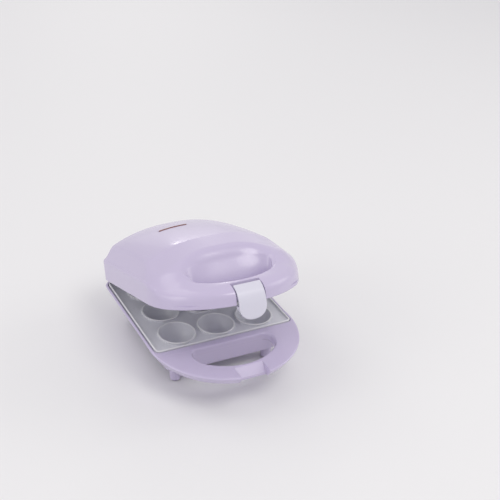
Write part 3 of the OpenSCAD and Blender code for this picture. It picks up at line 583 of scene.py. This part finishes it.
def lid_height(x, y):
    d = -lid_plan(x, y)
    fall = SIDE_FALL + SIDE_FALL_MORE * ease((FALL_Y - y) / FALL_RUN)
    over = np.maximum(middle_height(y) - GRIP_Z, 0)
    dome = GRIP_Z + over * (1 - fall * np.minimum(np.abs(x) / DOME_HALF_W, 1.2) ** SIDE_FALL_POWER)
    side = BAND_Z + SLANT_RISE * (np.maximum(d - SLANT_IN, 0) / SLANT_RUN) ** SLANT_POWER
    grip = grip_roll(d, GRIP_Z + GRIP_FOLLOWS_DOME * (dome - GRIP_Z))
    grip = grip + np.maximum(d - GRIP_ROLL_W, 0) * GRIP_INNER_SLOPE
    edge = side + (grip - side) * ease((-HANDLE_CY - y) / EDGE_CHANGE_RUN)
    soft = BLEND + BLEND_MORE * ease((BLEND_Y - y) / BLEND_RUN)
    gap = np.clip(0.5 + 0.5 * (edge - dome) / soft, 0, 1)
    return edge + (dome - edge) * gap - soft * gap * (1 - gap)


def above_lid(x, y, z, step=0.2, steepest=3.0):
    """Distance above the lid's skin: the height over it, made shorter where the skin is steep."""
    height = lid_height(x, y)
    across = (lid_height(x + step, y) - height) / step
    along = (lid_height(x, y + step) - height) / step
    return (z - height) * (1 / np.sqrt(1 + np.minimum(across**2 + along**2, steepest**2)))


stations = (70.0, 10.0, CREASE_Y, -70.0, -120.0)
print("height along the middle:", {y: round(float(lid_height(0.0, y)), 1) for y in stations})

# %% [markdown]
# ### Opening, scoop, notch and window
#
# Fingers go through the opening behind the grip, and the scoop above it is a shallow dish that is deepest
# in the middle. A dish of this kind is a body of revolution laid on its side, so its field is a radius that
# shrinks towards both ends. Its lip is wide and soft at the back and tight on the grip, where the photo shows
# a clear line. The hollow under the lid keeps a wall's thickness away from the dish.

# %% The lid's field
OPENING_R = 56.5
OPENING_HALF_W = 43.5
OPENING_CORNER_R = 8.0
LID_OPENING_R = 51.5
LID_OPENING_BACK = 80.0
SCOOP_Y, SCOOP_Z = -103.0, 46.0
SCOOP_R, SCOOP_HALF_W = 34.0, 65.0
LIP_ON_GRIP, LIP_MORE = 1.5, 5.5
LIP_Y, LIP_RUN = -110.0, 16.0
LID_WALL, LID_ROOF, DISH_WALL = 2.8, 3.0, 4.0
HOLLOW_REACH = 75.2
SEAT_INSET, SEAT_Z = 1.9, 4.5
OPENING_WALL = 2.6
LATCH_CUT = 15.0
LATCH_CUT_Y = -114.4
WINDOW_X, WINDOW_Y, WINDOW_L, WINDOW_W = -14.0, 19.0, 31.0, 3.6
UNDER_WINDOW_Z = 30.0
LUG_X, LUG_HALF, LUG_TOP = 46.0, 6.6, 12.5
LEADS_X, LEADS_HALF, LEADS_TOP = -8.0, 4.0, 18.0
HINGE_CUT_Y = 73.0


def handle_opening(x, y, back, radius):
    """Plan of the opening: an arc in front, and a straight wall with round corners behind."""
    arc = np.hypot(x, y + HANDLE_CY) - radius
    box = rounded_box_2d(x, y, OPENING_HALF_W, BEYOND_FRONT, -back, OPENING_CORNER_R)
    return rounded_corner(arc, box, radius=4.0)


def scoop(x, y, z):
    reach = SCOOP_R * (1 - np.minimum(np.abs(x) / SCOOP_HALF_W, 1.0) ** 4)
    dish = np.hypot(y - SCOOP_Y, z - SCOOP_Z) - reach
    return rounded_corner(dish, np.hypot(x, y + HANDLE_CY) - LID_OPENING_R - 1.0, radius=4.0)


def cut_at_hinge(x, y, z, middle, half_width, top):
    """A slot through the rear wall, open below."""
    return np.maximum(np.abs(x - middle) - half_width, np.maximum(HINGE_CUT_Y - y, z - top))


def lid_field(x, y, z):
    plan = lid_plan(x, y)
    top = above_lid(x, y, z)
    opening = handle_opening(x, y, LID_OPENING_BACK, LID_OPENING_R)
    dish = scoop(x, y, z)
    body = rounded_corner(rounded_corner(plan, top, radius=2.6), LID_EDGE_Z - z, radius=0.7)
    body = rounded_cut(body, opening, radius=1.4)
    body = rounded_cut(body, dish, radius=LIP_ON_GRIP + LIP_MORE * ease((y - LIP_Y) / LIP_RUN))
    hollow = np.maximum(plan + LID_WALL, np.maximum(top + LID_ROOF, -y - HOLLOW_REACH))
    hollow = rounded_corner(hollow, DISH_WALL - dish, radius=5.0)
    seat = np.maximum(np.maximum(plan + SEAT_INSET, z - SEAT_Z), OPENING_WALL - opening)
    body = np.maximum(body, -np.minimum(hollow, seat))
    notch = np.maximum(np.abs(x) - LATCH_CUT, np.maximum(y - LATCH_CUT_Y, -z))
    body = rounded_cut(body, notch, radius=0.5)
    window = np.maximum(np.abs(x - WINDOW_X) - WINDOW_L / 2, np.abs(y - WINDOW_Y) - WINDOW_W / 2)
    body = rounded_cut(body, np.maximum(window, UNDER_WINDOW_Z - z), radius=0.3)
    for side in (-LUG_X, LUG_X):
        body = np.maximum(body, -cut_at_hinge(x, y, z, side, LUG_HALF, LUG_TOP))
    return np.maximum(body, -cut_at_hinge(x, y, z, LEADS_X, LEADS_HALF, LEADS_TOP))


lid_skin = moulding("lid_skin", lid_field, (-79, -129, 0), (79, 80, 56), 0.85, 0.5, lid_place)
dress(lid_skin, "lavender_plastic", "lid", "lid_shell")

# %% [markdown]
# ## The base
#
# The base is a tub whose sides lean in towards the table, with half a disc in front that is the lower half
# of the handle. The same helpers make it: planes that move in with depth, and a disc with a leaning face.
# A leaning plane's field grows too fast by the slant, so each is multiplied by the cosine of its lean.

# %% Tub, handle and the ears of the hinge
BASE_DEPTH = 28.0
TUB_FRONT = 76.2
TUB_BAND = 1.5
SIDE_LEAN, REAR_LEAN, FRONT_LEAN = 17.0, 9.0, 6.5
SIDE_COS, REAR_COS, FRONT_COS = 0.8415, 0.947, 0.971
TUB_REAR_R, TUB_FRONT_R = 13.0, 11.0
BASE_WALL = 2.6
DECK_T = 2.5
HANDLE_LEAN, HANDLE_COS = 0.607, 0.855
HANDLE_T = 10.0
HANDLE_REAR_Y = -50.0
EAR_FOOT = (73.0, -9.0)
EAR_W, EAR_R = 6.0, 6.2
LID_FRAME_Y, LID_FRAME_Z = 79.8, 0.2
EARS_X = (-55.3, -36.7, 36.7, 55.3)


def front_of_tub(z):
    """How far the front wall stands from the middle at a depth below the rim."""
    return TUB_FRONT - FRONT_LEAN * np.clip(-z / BASE_DEPTH, 0, 1.1)


def tub(x, y, z, wall=0.0):
    """The tub's outside, or its inside where a wall is given."""
    k = np.clip((-z - TUB_BAND) / (BASE_DEPTH - TUB_BAND), 0, 1.1)
    side = (np.abs(x) - HALF_W + SIDE_LEAN * k) * SIDE_COS + wall
    rear = (y - REAR_Y + REAR_LEAN * k) * REAR_COS + wall
    front = (-y - front_of_tub(z)) * FRONT_COS + wall
    share = 1.0 if wall == 0 else 0.75
    return rounded_corner(rounded_corner(side, rear, TUB_REAR_R * share), front, TUB_FRONT_R * share)


def handle(x, y, z, opening):
    lean = HANDLE_LEAN * np.maximum(-z - TUB_BAND, 0)
    disc = (np.hypot(x, y + HANDLE_CY) - HALF_W + lean) * HANDLE_COS
    plate = rounded_corner(rounded_corner(disc, z, radius=1.2), -z - HANDLE_T, radius=1.6)
    return rounded_cut(np.maximum(plate, y - HANDLE_REAR_Y), opening, radius=2.4)


def ear(x, y, z, middle):
    """Ear of the hinge: a round eye on an arm that runs down to the rear wall, clear of the lid's frame."""
    eye = from_line(y, z, (HINGE_Y, HINGE_Z), EAR_FOOT) - EAR_R
    eye = np.maximum(eye, np.minimum(LID_FRAME_Y - y, z - LID_FRAME_Z))
    return rounded_corner(eye, np.abs(x - middle) - EAR_W / 2, radius=0.8)


depths = (-5.0, -BASE_DEPTH)
print("front wall at the band and at the foot:", [round(float(front_of_tub(z)), 1) for z in depths])

# %% [markdown]
# ### The base's hollows and cuts
#
# The tub and the underside of the handle are hollow, as a moulding must be to cool evenly. The hole for the
# plate is cut from above. In front, a ramp lets the latch hang down, and stops short of a bar that its hook
# takes hold of.

# %% The base's field
PLATE_HALF, PLATE_FRONT, PLATE_REAR, PLATE_CORNER_R = 75.0, 67.3, 71.6, 5.0
PLATE_CLEAR = 0.8
PLATE_HOLE_DEPTH = 4.0
POCKET_ROOF = 3.0
POCKET_MIDDLE = 17.6
POCKET_END_SLOPE = 0.364
RAMP_Y, RAMP_DROP, RAMP_SLOPE, RAMP_COS, RAMP_END = 118.0, 0.3, 0.8, 0.78, 127.0
BUSH_X, BUSH_Z, BUSH_R, BUSH_FRONT_Y = 7.0, -17.0, 5.1, 60.0
LEADS_SLOT_Y, LEADS_SLOT_Z, LEADS_SLOT_HALF = 71.2, -5.5, 7.5


def handle_pocket(x, y, z):
    """The hollow under the handle, in two halves beside the latch's bar."""
    ring = np.hypot(x, y + HANDLE_CY)
    outer = ring - HALF_W + HANDLE_LEAN * (-z) + BASE_WALL
    pocket = np.maximum(OPENING_R + BASE_WALL - ring, outer)
    pocket = np.maximum(pocket, np.maximum(z + POCKET_ROOF, POCKET_MIDDLE - np.abs(x)))
    return np.maximum(pocket, y + HANDLE_CY + POCKET_END_SLOPE * np.abs(x))


def plate_hole(x, y, z):
    c = PLATE_CLEAR
    around = rounded_box_2d(x, y, PLATE_HALF + c, -PLATE_FRONT - c, PLATE_REAR + c, PLATE_CORNER_R + c)
    return np.maximum(around, -z - PLATE_HOLE_DEPTH)


def latch_ramp(x, y, z):
    ramp = np.minimum((-RAMP_DROP + RAMP_SLOPE * (y + RAMP_Y) - z) * RAMP_COS, y + RAMP_END)
    return np.maximum(ramp, np.abs(x) - LATCH_CUT)


def base_field(x, y, z):
    shell = rounded_corner(rounded_corner(tub(x, y, z), z, radius=1.7), -z - BASE_DEPTH, radius=2.5)
    opening = handle_opening(x, y, front_of_tub(z), OPENING_R)
    solid = rounded_join(shell, handle(x, y, z, opening), radius=0.6)
    for middle in EARS_X:
        solid = rounded_join(solid, ear(x, y, z, middle), radius=1.5)
    solid = np.maximum(solid, -np.maximum(tub(x, y, z, BASE_WALL), z + DECK_T))
    solid = rounded_cut(solid, plate_hole(x, y, z), radius=0.5)
    solid = rounded_cut(solid, handle_pocket(x, y, z), radius=0.4)
    solid = rounded_cut(solid, latch_ramp(x, y, z), radius=0.5)
    bush = np.maximum(np.hypot(x - BUSH_X, z - BUSH_Z) - BUSH_R, BUSH_FRONT_Y - y)
    slot = np.maximum(np.abs(x - LEADS_X) - LEADS_HALF, LEADS_SLOT_Y - y)
    slot = np.maximum(slot, np.abs(z - LEADS_SLOT_Z) - LEADS_SLOT_HALF)
    return np.maximum(np.maximum(solid, -bush), -slot)


base_skin = moulding("base_skin", base_field, (-79, -137, -29), (79, 93, 11), 0.85, 0.45, base_place)
dress(base_skin, "lavender_plastic", "base", "base_shell")

# %% [markdown]
# ## The cooking plates
#
# Each plate is one casting: a pan with a raised rim, and nine half-round wells with a raised ring. The wells
# repeat every 43 mm, so the field folds the plan into one cell first, and only one well is described. The
# upper plate is the lower one turned over.

# %% One plate, used twice
PITCH = 43.0
WELL_R = 17.85
RING_R = 19.55
BOWL_R = 20.25
RIM_DEPTH = 5.1
PLATE_RIM_W = 2.0
RING_H = 2.5
RING_FLAT, RING_LEAN, RING_COS = 0.35, 0.4, 0.93
RING_FOOT, BOWL_TOP = 4.0, 3.0
PLATE_STAND = 1.3
PLATE_GAP = 0.3


def from_nearest_well(a):
    return a - PITCH * np.clip(np.round(a / PITCH), -1, 1)


def plate_field(x, y, z):
    plan = rounded_box_2d(x, y, PLATE_HALF, -PLATE_FRONT, PLATE_REAR, PLATE_CORNER_R)
    pan = rounded_corner(rounded_corner(plan, z, radius=0.7), -z - RIM_DEPTH, radius=0.5)
    recess = rounded_corner(plan + PLATE_RIM_W, -z - RING_H, radius=1.0)
    pan = rounded_cut(pan, recess, radius=0.6)
    fx, fy = from_nearest_well(x), from_nearest_well(y)
    slope = (np.hypot(fx, fy) - RING_R - RING_FLAT - RING_LEAN * np.minimum(z, 0)) * RING_COS
    ring = rounded_corner(np.maximum(slope, -z - RING_FOOT), z, radius=0.9)
    ball = np.sqrt(fx**2 + fy**2 + z**2)
    bowl = np.maximum(ball - BOWL_R, z + BOWL_TOP)
    metal = rounded_join(rounded_join(pan, ring, radius=0.7), bowl, radius=1.0)
    return rounded_cut(metal, ball - WELL_R, radius=0.55)


def cooking_plate(name, place):
    return moulding(name, plate_field, (-76, -68.5, -21), (76, 72.5, 1), 0.8, 0.4, place)


lower_coat = cooking_plate("lower_coat", base_place @ Matrix.Translation((0, 0, PLATE_STAND)))
dress(lower_coat, "coated_aluminium", "base", "lower_plate")
turn_over = Matrix.Translation((0, 0, PLATE_STAND + PLATE_GAP)) @ Matrix.Scale(-1, 4, (0, 0, 1))
upper_coat = cooking_plate("upper_coat", lid_place @ turn_over)
dress(upper_coat, "coated_aluminium", "lid", "upper_plate")

# %% [markdown]
# ## The latch
#
# The latch is a plate bent along one line: it follows the grip's rounded face and hangs straight down. Its
# side view is a closed outline of two smooth bends and a round foot. The distance from that outline, cut to
# the shield shape seen from the front, is its field.

# %% Side view of the latch
def outline_distance(x, y, corners):
    """Distance from a closed outline, negative inside it."""
    nearest = np.full(np.broadcast(x, y).shape, 1e9)
    inside = np.zeros(nearest.shape, bool)
    for a, b in zip(corners, corners[1:] + corners[:1]):
        nearest = np.minimum(nearest, from_line(x, y, a, b))
        if b[1] != a[1]:
            beside = x < a[0] + (y - a[1]) * (b[0] - a[0]) / (b[1] - a[1])
            inside ^= ((a[1] > y) != (b[1] > y)) & beside
    return np.where(inside, -nearest, nearest)


def bent(a, b, c, d, steps=14):
    """Points along a smooth bend from a to d, which leaves towards b and arrives from c."""
    t = np.linspace(0, 1, steps)[:, None]
    a, b, c, d = map(np.array, (a, b, c, d))
    curve = a * (1 - t) ** 3 + 3 * b * t * (1 - t) ** 2 + 3 * c * t**2 * (1 - t) + d * t**3
    return [tuple(point) for point in curve]


LATCH_TOP_IN = 9.3
LATCH_FACE_Y, LATCH_BACK_Y = -130.5, -128.0
outer_top = (LID_FRONT_Y + LATCH_TOP_IN, grip_roll(LATCH_TOP_IN) - 0.1)
inner_top = (LID_FRONT_Y + 10.2, grip_roll(LATCH_TOP_IN) - 2.2)
latch_side = bent(outer_top, (-125.2, 15.8), (-130.9, 10.0), (LATCH_FACE_Y, -5.0))
latch_side += [(LATCH_FACE_Y, -11.5), (-130.3, -12.8), (-129.6, -13.8), (-128.5, -14.4)]
latch_side += [(LATCH_BACK_Y, -14.5)]
latch_side += bent((LATCH_BACK_Y, -5.0), (-128.4, 8.4), (-123.6, 13.6), inner_top)
print("the latch's side view has", len(latch_side), "points")

# %% [markdown]
# ### Barrel, hook and shield
#
# A barrel round the pin joins the back of the plate. The hook runs round the foot: it is drawn in the
# distance from the shield's own edge, so it follows the round foot without further work. A little of it is
# cut away above, where the bar of the base passes when the lid comes down.

# %% The latch's field
LATCH_HALF = 14.0
LATCH_DROP = 14.5
LATCH_FOOT_R = 12.5
PIN_Y, PIN_Z = -121.5, 10.0
PIN_HOLE_R = 1.3
BARREL_R = 2.95
HOOK_TOP_Z = -0.6
HOOK_WALL, HOOK_Y, HOOK_HALF_DEPTH = 1.8, -126.4, 3.6
LIP_WIDTH, LIP_MIDDLE_Y, LIP_HALF_T = 3.3, -123.4, 0.6
BAR_FRONT_Y, BAR_FOOT_Z, BAR_CLEAR = -127.6, -10.7, 0.5


def edge_band(shield, width, y, middle, half):
    """The two fields of a band along the shield's edge: across its width, and in the depth."""
    return np.maximum(shield, -width - shield), np.abs(y - middle) - half


def hook(y, z, shield):
    turned_in = rounded_corner(*edge_band(shield, HOOK_WALL, y, HOOK_Y, HOOK_HALF_DEPTH), radius=0.5)
    lip = rounded_corner(*edge_band(shield, LIP_WIDTH, y, LIP_MIDDLE_Y, LIP_HALF_T), radius=0.3)
    both = rounded_corner(rounded_join(turned_in, lip, radius=0.4), z - HOOK_TOP_Z, radius=0.6)
    under_ramp = z - RAMP_SLOPE * (y + RAMP_Y) - BAR_CLEAR
    bar = np.maximum(np.maximum(BAR_FRONT_Y - y, under_ramp), BAR_FOOT_Z - z)
    return rounded_cut(both, bar, radius=0.3)


def latch_field(x, y, z):
    from_pin = np.hypot(y - PIN_Y, z - PIN_Z)
    side = rounded_join(outline_distance(y, z, latch_side), from_pin - BARREL_R, radius=1.0)
    shield = rounded_box_2d(x, z, LATCH_HALF, -LATCH_DROP, 60.0, LATCH_FOOT_R)
    body = rounded_corner(side, shield, radius=0.7)
    body = rounded_join(body, hook(y, z, shield), radius=0.5)
    return np.maximum(body, PIN_HOLE_R - from_pin)


latch_low, latch_high = (-14.2, -131, -15), (14.2, -115, 21)
latch_plate = moulding("latch_plate", latch_field, latch_low, latch_high, 0.4, 0.5, lid_place)
dress(latch_plate, "latch_plastic", "latch", "latch")

# %% [markdown]
# ## Pieces that follow a rule, by Geometry Nodes
#
# The ribs under the handle and the pads under the legs repeat. Each kind is one small tree: points where the
# pieces stand, and one piece set on every point. The tree's named inputs hold the sizes, and the modifier
# hands them in by each socket's identifier.

# %% Growing a piece from a tree
def tree_of(name, sizes):
    return group_with(name, "GeometryNodeTree", sizes, {"Geometry": "NodeSocketGeometry"})


def grown(name, tree, last, result, sizes, slot):
    """Runs a tree on an empty mesh with the given sizes, and keeps its result as a plain mesh."""
    real = node_with(tree, "GeometryNodeRealizeInstances", [(result, 0)])
    coloured = node_with(tree, "GeometryNodeSetMaterial", [(real.outputs[0], 0)])
    coloured.inputs["Material"].default_value = finishes[slot]
    tree.links.new(coloured.outputs[0], last.inputs[0])
    thing = bpy.data.objects.new(name, bpy.data.meshes.new(name))
    bpy.context.scene.collection.objects.link(thing)
    grow = thing.modifiers.new("grow", "NODES")
    grow.node_group = tree
    for socket in tree.interface.items_tree:
        if socket.in_out == "INPUT":
            grow[socket.identifier] = sizes[socket.name]
    as_plain_mesh(thing)
    print(f"{name}: {len(thing.data.polygons)} faces by Geometry Nodes")
    return thing


print("materials ready for trees:", len(finishes))

# %% [markdown]
# ### Ribs under the handle
#
# The handle's wall is thin, so ribs stand across its hollow every 12 degrees, as on the real moulding. They
# are blocks from the inner to the outer wall, and their outer end leans out as that wall does. The middle
# three places stay free, because the latch's bar is there.

# %% The ribs' tree
RIB_COUNT = 11
RIB_MIDDLE_Z = -6.4
FREE_PLACES = 1.5
rib_sizes = {
    "Inner radius": 58.3,
    "Outer radius": 71.6,
    "Thickness": 2.0,
    "Depth": 7.2,
    "Step": math.radians(12),
    "Lean": 0.5,
}
ribs, ribs_in, ribs_out = tree_of("ribs under the handle", rib_sizes)
size = ribs_in.outputs
index = node_with(ribs, "GeometryNodeInputIndex").outputs[0]
from_middle = maths(ribs, "SUBTRACT", index, (RIB_COUNT - 1) / 2)
angle = maths(ribs, "MULTIPLY", from_middle, size["Step"])
beside_bar = maths(ribs, "GREATER_THAN", maths(ribs, "ABSOLUTE", from_middle), FREE_PLACES)
turn = node_with(ribs, "ShaderNodeCombineXYZ", [(angle, "Z")])

length = maths(ribs, "SUBTRACT", size["Outer radius"], size["Inner radius"])
block = node_with(
    ribs, "ShaderNodeCombineXYZ", [(size["Thickness"], "X"), (length, "Y"), (size["Depth"], "Z")]
)
rib = node_with(ribs, "GeometryNodeMeshCube", [(block.outputs[0], "Size")])
position = node_with(ribs, "GeometryNodeInputPosition")
corner = node_with(ribs, "ShaderNodeSeparateXYZ", [(position.outputs[0], 0)])
above_foot = maths(ribs, "ADD", corner.outputs["Z"], maths(ribs, "MULTIPLY", size["Depth"], 0.5))
on_front = maths(ribs, "LESS_THAN", corner.outputs["Y"], 0.0)
push = maths(ribs, "MULTIPLY", maths(ribs, "MULTIPLY", above_foot, size["Lean"]), on_front)
forward = node_with(ribs, "ShaderNodeCombineXYZ", [(maths(ribs, "MULTIPLY", push, -1.0), "Y")])
leaning = node_with(ribs, "GeometryNodeSetPosition", [(rib.outputs[0], 0), (forward.outputs[0], "Offset")])
twice_out = maths(ribs, "ADD", size["Outer radius"], size["Inner radius"])
out_there = node_with(ribs, "ShaderNodeCombineXYZ", [(maths(ribs, "MULTIPLY", twice_out, -0.5), "Y")])
moved = node_with(
    ribs, "GeometryNodeTransform", [(leaning.outputs[0], 0), (out_there.outputs[0], "Translation")]
)
middle_point = {"Count": RIB_COUNT, "Offset": (0, 0, 0)}
places = node_with(ribs, "GeometryNodeMeshLine", values=middle_point, count_mode="TOTAL")
stand = node_with(
    ribs,
    "GeometryNodeInstanceOnPoints",
    [
        (places.outputs[0], "Points"),
        (moved.outputs[0], "Instance"),
        (beside_bar, "Selection"),
        (turn.outputs[0], "Rotation"),
    ],
)
handle_ribs = grown("handle_ribs", ribs, ribs_out, stand.outputs[0], rib_sizes, "lavender_plastic")
handle_ribs.data.transform(base_place @ Matrix.Translation((0, -HANDLE_CY, RIB_MIDDLE_Z)))
dress(handle_ribs, "lavender_plastic", "base")

# %% [markdown]
# ### Rubber pads under the legs
#
# A pad is a ring with soft edges round a small plug, a little narrower than the end of its leg. The ring is
# a rounded section carried round a circle. A grid of two by two points puts one pad under each leg.

# %% The pads' tree
LEG_X, LEG_FRONT, LEG_REAR = 51.3, -59.5, 57.0
pad_sizes = {
    "Ring radius": 2.625,
    "Ring width": 2.625,
    "Height": 1.5,
    "Edge": 0.45,
    "Plug radius": 1.9,
    "Plug height": 0.9,
    "Across": 2 * LEG_X,
    "Along": LEG_REAR - LEG_FRONT,
}
pads, pads_in, pads_out = tree_of("rubber pads", pad_sizes)
size = pads_in.outputs
section = node_with(
    pads,
    "GeometryNodeCurvePrimitiveQuadrilateral",
    [(size["Ring width"], "Width"), (size["Height"], "Height")],
)
soft_section = node_with(
    pads,
    "GeometryNodeFilletCurve",
    [(section.outputs[0], 0), (size["Edge"], "Radius")],
    {"Count": 5},
    mode="POLY",
)
path = node_with(
    pads, "GeometryNodeCurvePrimitiveCircle", [(size["Ring radius"], "Radius")], {"Resolution": 48}
)
ring = node_with(
    pads, "GeometryNodeCurveToMesh", [(path.outputs[0], 0), (soft_section.outputs[0], "Profile Curve")]
)
plug = node_with(
    pads,
    "GeometryNodeMeshCylinder",
    [(size["Plug radius"], "Radius"), (size["Plug height"], "Depth")],
    {"Vertices": 32},
)
pad = node_with(pads, "GeometryNodeJoinGeometry", [(ring.outputs[0], 0), (plug.outputs[0], 0)])
legs = node_with(
    pads,
    "GeometryNodeMeshGrid",
    [(size["Across"], "Size X"), (size["Along"], "Size Y")],
    {"Vertices X": 2, "Vertices Y": 2},
)
four = node_with(
    pads, "GeometryNodeInstanceOnPoints", [(legs.outputs[0], "Points"), (pad.outputs[0], "Instance")]
)
smooth = node_with(pads, "GeometryNodeSetShadeSmooth", [(four.outputs[0], 0)])
rubber_pads = grown("rubber_pads", pads, pads_out, smooth.outputs[0], pad_sizes, "foot_rubber")
legs_middle = ((SHIFT_Y + (LEG_REAR + LEG_FRONT) / 2) * MM, pad_sizes["Height"] / 2 * MM)
rubber_pads.data.transform(Matrix.Translation((0, *legs_middle)) @ Matrix.Scale(MM, 4))
dress(rubber_pads, "foot_rubber", "base", "foot_pads")

# %% [markdown]
# ## The window
#
# Over the two lamps lies a thin bar of tinted plastic. It stands a little proud of the lid and follows the
# dome, so its top is the lid's own height with a low crown added.

# %% The window's field
WINDOW_CLEAR = 0.1
WINDOW_PROUD = 0.75


def window_field(x, y, z):
    half_w = WINDOW_W / 2 - WINDOW_CLEAR
    bar = rounded_box_2d(x - WINDOW_X, y - WINDOW_Y, WINDOW_L / 2 - WINDOW_CLEAR, -half_w, half_w, 0.8)
    crown = z - lid_height(x, y) - WINDOW_PROUD + 0.06 * (y - WINDOW_Y) ** 2
    return rounded_corner(rounded_corner(bar, crown, radius=0.5), 41.0 - z, radius=0.1)


window_bar = moulding("window_bar", window_field, (-30, 17, 40.8), (2, 21, 57), 0.35, 0.4, lid_place)
dress(window_bar, "window_plastic", "lid", "indicator_lens")

# %% [markdown]
# ## The sleeve over the leads
#
# Leads pass from the base to the lid inside a rubber sleeve, which bends as the lid turns. So it is one tube,
# whose lower end is placed on the base and whose upper end on the lid as it stands, with the bend shared
# between them.
# Its line runs smoothly through five points: two at the base, one at the hinge, two at the lid.

# %% A smooth line, and a tube round it
def smooth_line(points, steps=8):
    """Points on a line through the given ones, whose direction at each comes from its two neighbours."""
    line = []
    for i in range(len(points) - 1):
        a, b = points[i], points[i + 1]
        leave = (b - points[max(i - 1, 0)]) / 2
        arrive = (points[min(i + 2, len(points) - 1)] - a) / 2
        for k in range(steps):
            t = k / steps
            place = a * (2 * t**3 - 3 * t**2 + 1) + leave * (t**3 - 2 * t**2 + t)
            line.append(place + b * (3 * t**2 - 2 * t**3) + arrive * (t**3 - t**2))
    return line + [points[-1]]


def tube(name, line, radius, sides=24):
    """A tube round a line that stays in one upright plane. Its open ends are inside the housings."""
    co, faces = [], []
    across = Vector((1, 0, 0))
    for i, middle in enumerate(line):
        ahead = (line[min(i + 1, len(line) - 1)] - line[max(i - 1, 0)]).normalized()
        up = ahead.cross(across).normalized()
        for k in range(sides):
            a = 2 * math.pi * k / sides
            co.append(list(middle + radius * (math.cos(a) * across + math.sin(a) * up)))
    for i in range(len(line) - 1):
        for k in range(sides):
            n = (k + 1) % sides
            faces.append((i * sides + k, i * sides + n, (i + 1) * sides + n, (i + 1) * sides + k))
    thing = mesh_object(name, np.array(co), np.array(faces))
    shade_smooth(thing.data)
    return thing


SLEEVE_R = 2.9
base_end = base_place @ Vector((LEADS_X, 70.3, -12.8))
bend_low = base_place @ Vector((LEADS_X, 80.5, -2.0))
bend = base_place @ Vector((LEADS_X, 86.6, 5.0))
bend_high = lid_place @ Vector((LEADS_X, 80.6, 10.6))
lid_end = lid_place @ Vector((LEADS_X, 70.5, 19.8))
sleeve_line = smooth_line([base_end, bend_low, bend, bend_high, lid_end])
sleeve = tube("lead_sleeve", sleeve_line, SLEEVE_R * MM)
wear(sleeve, "grey_rubber")
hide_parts("base_sleeve", "lid_sleeve")
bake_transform(sleeve)
print("the sleeve's line has", len(sleeve_line), "points")

# %% [markdown]
# ## Edges of the CAD pieces
#
# The frame, the cover, the pins and the screws keep their CAD shape. A fine bevel on their sharp edges
# catches the light as the rounded mouldings do. It is a modifier, so the CAD mesh under it isn't changed.

# %% Fine bevels on the CAD pieces
BEVEL_W = 0.35 * MM
bevelled = ("bottom_cover", "lid_frame", "cord_bush", "hinge_pins", "latch_pin", "cover_screws", "lid_screws")
for node in bevelled:
    edge = frame["nodes"][node].modifiers.new("edge", "BEVEL")
    edge.width = BEVEL_W
    edge.segments = 2
    edge.limit_method = "ANGLE"
    edge.angle_limit = math.radians(40)
print("bevelled:", ", ".join(bevelled))

# %% [markdown]
# ## The table
#
# The object stands on a plain pale table, wide enough to reach the edge of the picture from every side.

# %% Table
TABLE_SIZE = 12
bpy.ops.mesh.primitive_plane_add(size=TABLE_SIZE, location=(0, 3, 0))
table = bpy.context.object
table.name = "table"
table.data.materials.append(finish("table", (0.80, 0.80, 0.81), 0.6, height=0))
print("table:", TABLE_SIZE, "m square")

# %% [markdown]
# ## Light
#
# Large soft discs light the object from the sides and from above, so that the pale plastic has no hard
# spots. A low wide disc behind brightens the far side. One narrow strip stands behind the object: its
# reflection is the thin line of light at the crease of the lid.

# %% Lamps
WARM = (1.0, 0.99, 0.94)
FOOT_OF_OBJECT = (0, 0, 0.05)


def lamp(name, place, aim, size, power):
    light = bpy.data.lights.new(name, "AREA")
    light.shape = "DISK"
    light.size = size
    light.energy = power
    light.color = WARM
    thing = bpy.data.objects.new(name, light)
    bpy.context.scene.collection.objects.link(thing)
    thing.location = place
    thing.rotation_euler = (Vector(aim) - Vector(place)).to_track_quat("-Z", "Y").to_euler()
    return light


lamp("key", (-0.9, 1.0, 1.8), FOOT_OF_OBJECT, size=1.3, power=5)
lamp("left fill", (-1.9, -0.1, 0.9), FOOT_OF_OBJECT, size=1.3, power=6.8)
lamp("overhead", (0.3, -1.0, 1.75), FOOT_OF_OBJECT, size=0.9, power=9)
lamp("right fill", (1.8, -0.3, 1.0), FOOT_OF_OBJECT, size=1.2, power=6)
lamp("backdrop", (0.95, 2.1, 0.1), (0, 0, 0.12), size=1.9, power=2.7)
strip = lamp("crease strip", (0.42, 1.41, 0.49), (0, 0, 0.13), size=0.42, power=0.6)
strip.shape = "RECTANGLE"
strip.size_y = 0.08

world = bpy.data.worlds.new("studio")
world.use_nodes = True
background = world.node_tree.nodes["Background"]
background.inputs["Color"].default_value = (0.985, 0.965, 1.0, 1)
background.inputs["Strength"].default_value = 0.68
bpy.context.scene.world = world
print("lamps:", ", ".join(light.name for light in bpy.data.lights))

# %% [markdown]
# ## Camera
#
# The camera looks from the photo's angle. Its place, its three angles and its lens were solved from points
# that can be found both in the photo and on the model, chiefly the mouths of the wells.

# %% Camera
CAMERA_AT = (-0.38114, -0.78451, 0.62338)
CAMERA_TILT, CAMERA_ROLL, CAMERA_HEADING = 60.0227, -3.0679, -26.7921
view = bpy.data.cameras.new("photo view")
view.sensor_width = 36.0
view.lens = 72.518
view.dof.use_dof = False
camera = bpy.data.objects.new("photo view", view)
bpy.context.scene.collection.objects.link(camera)
turned = Euler([math.radians(a) for a in (CAMERA_TILT, CAMERA_ROLL, CAMERA_HEADING)])
camera.matrix_world = Matrix.LocRotScale(Vector(CAMERA_AT), turned, None)
bpy.context.scene.camera = camera
bpy.context.scene.view_settings.view_transform = "Standard"
print("camera stands", round(1000 * math.dist(CAMERA_AT, FOOT_OF_OBJECT)), "mm from the object")
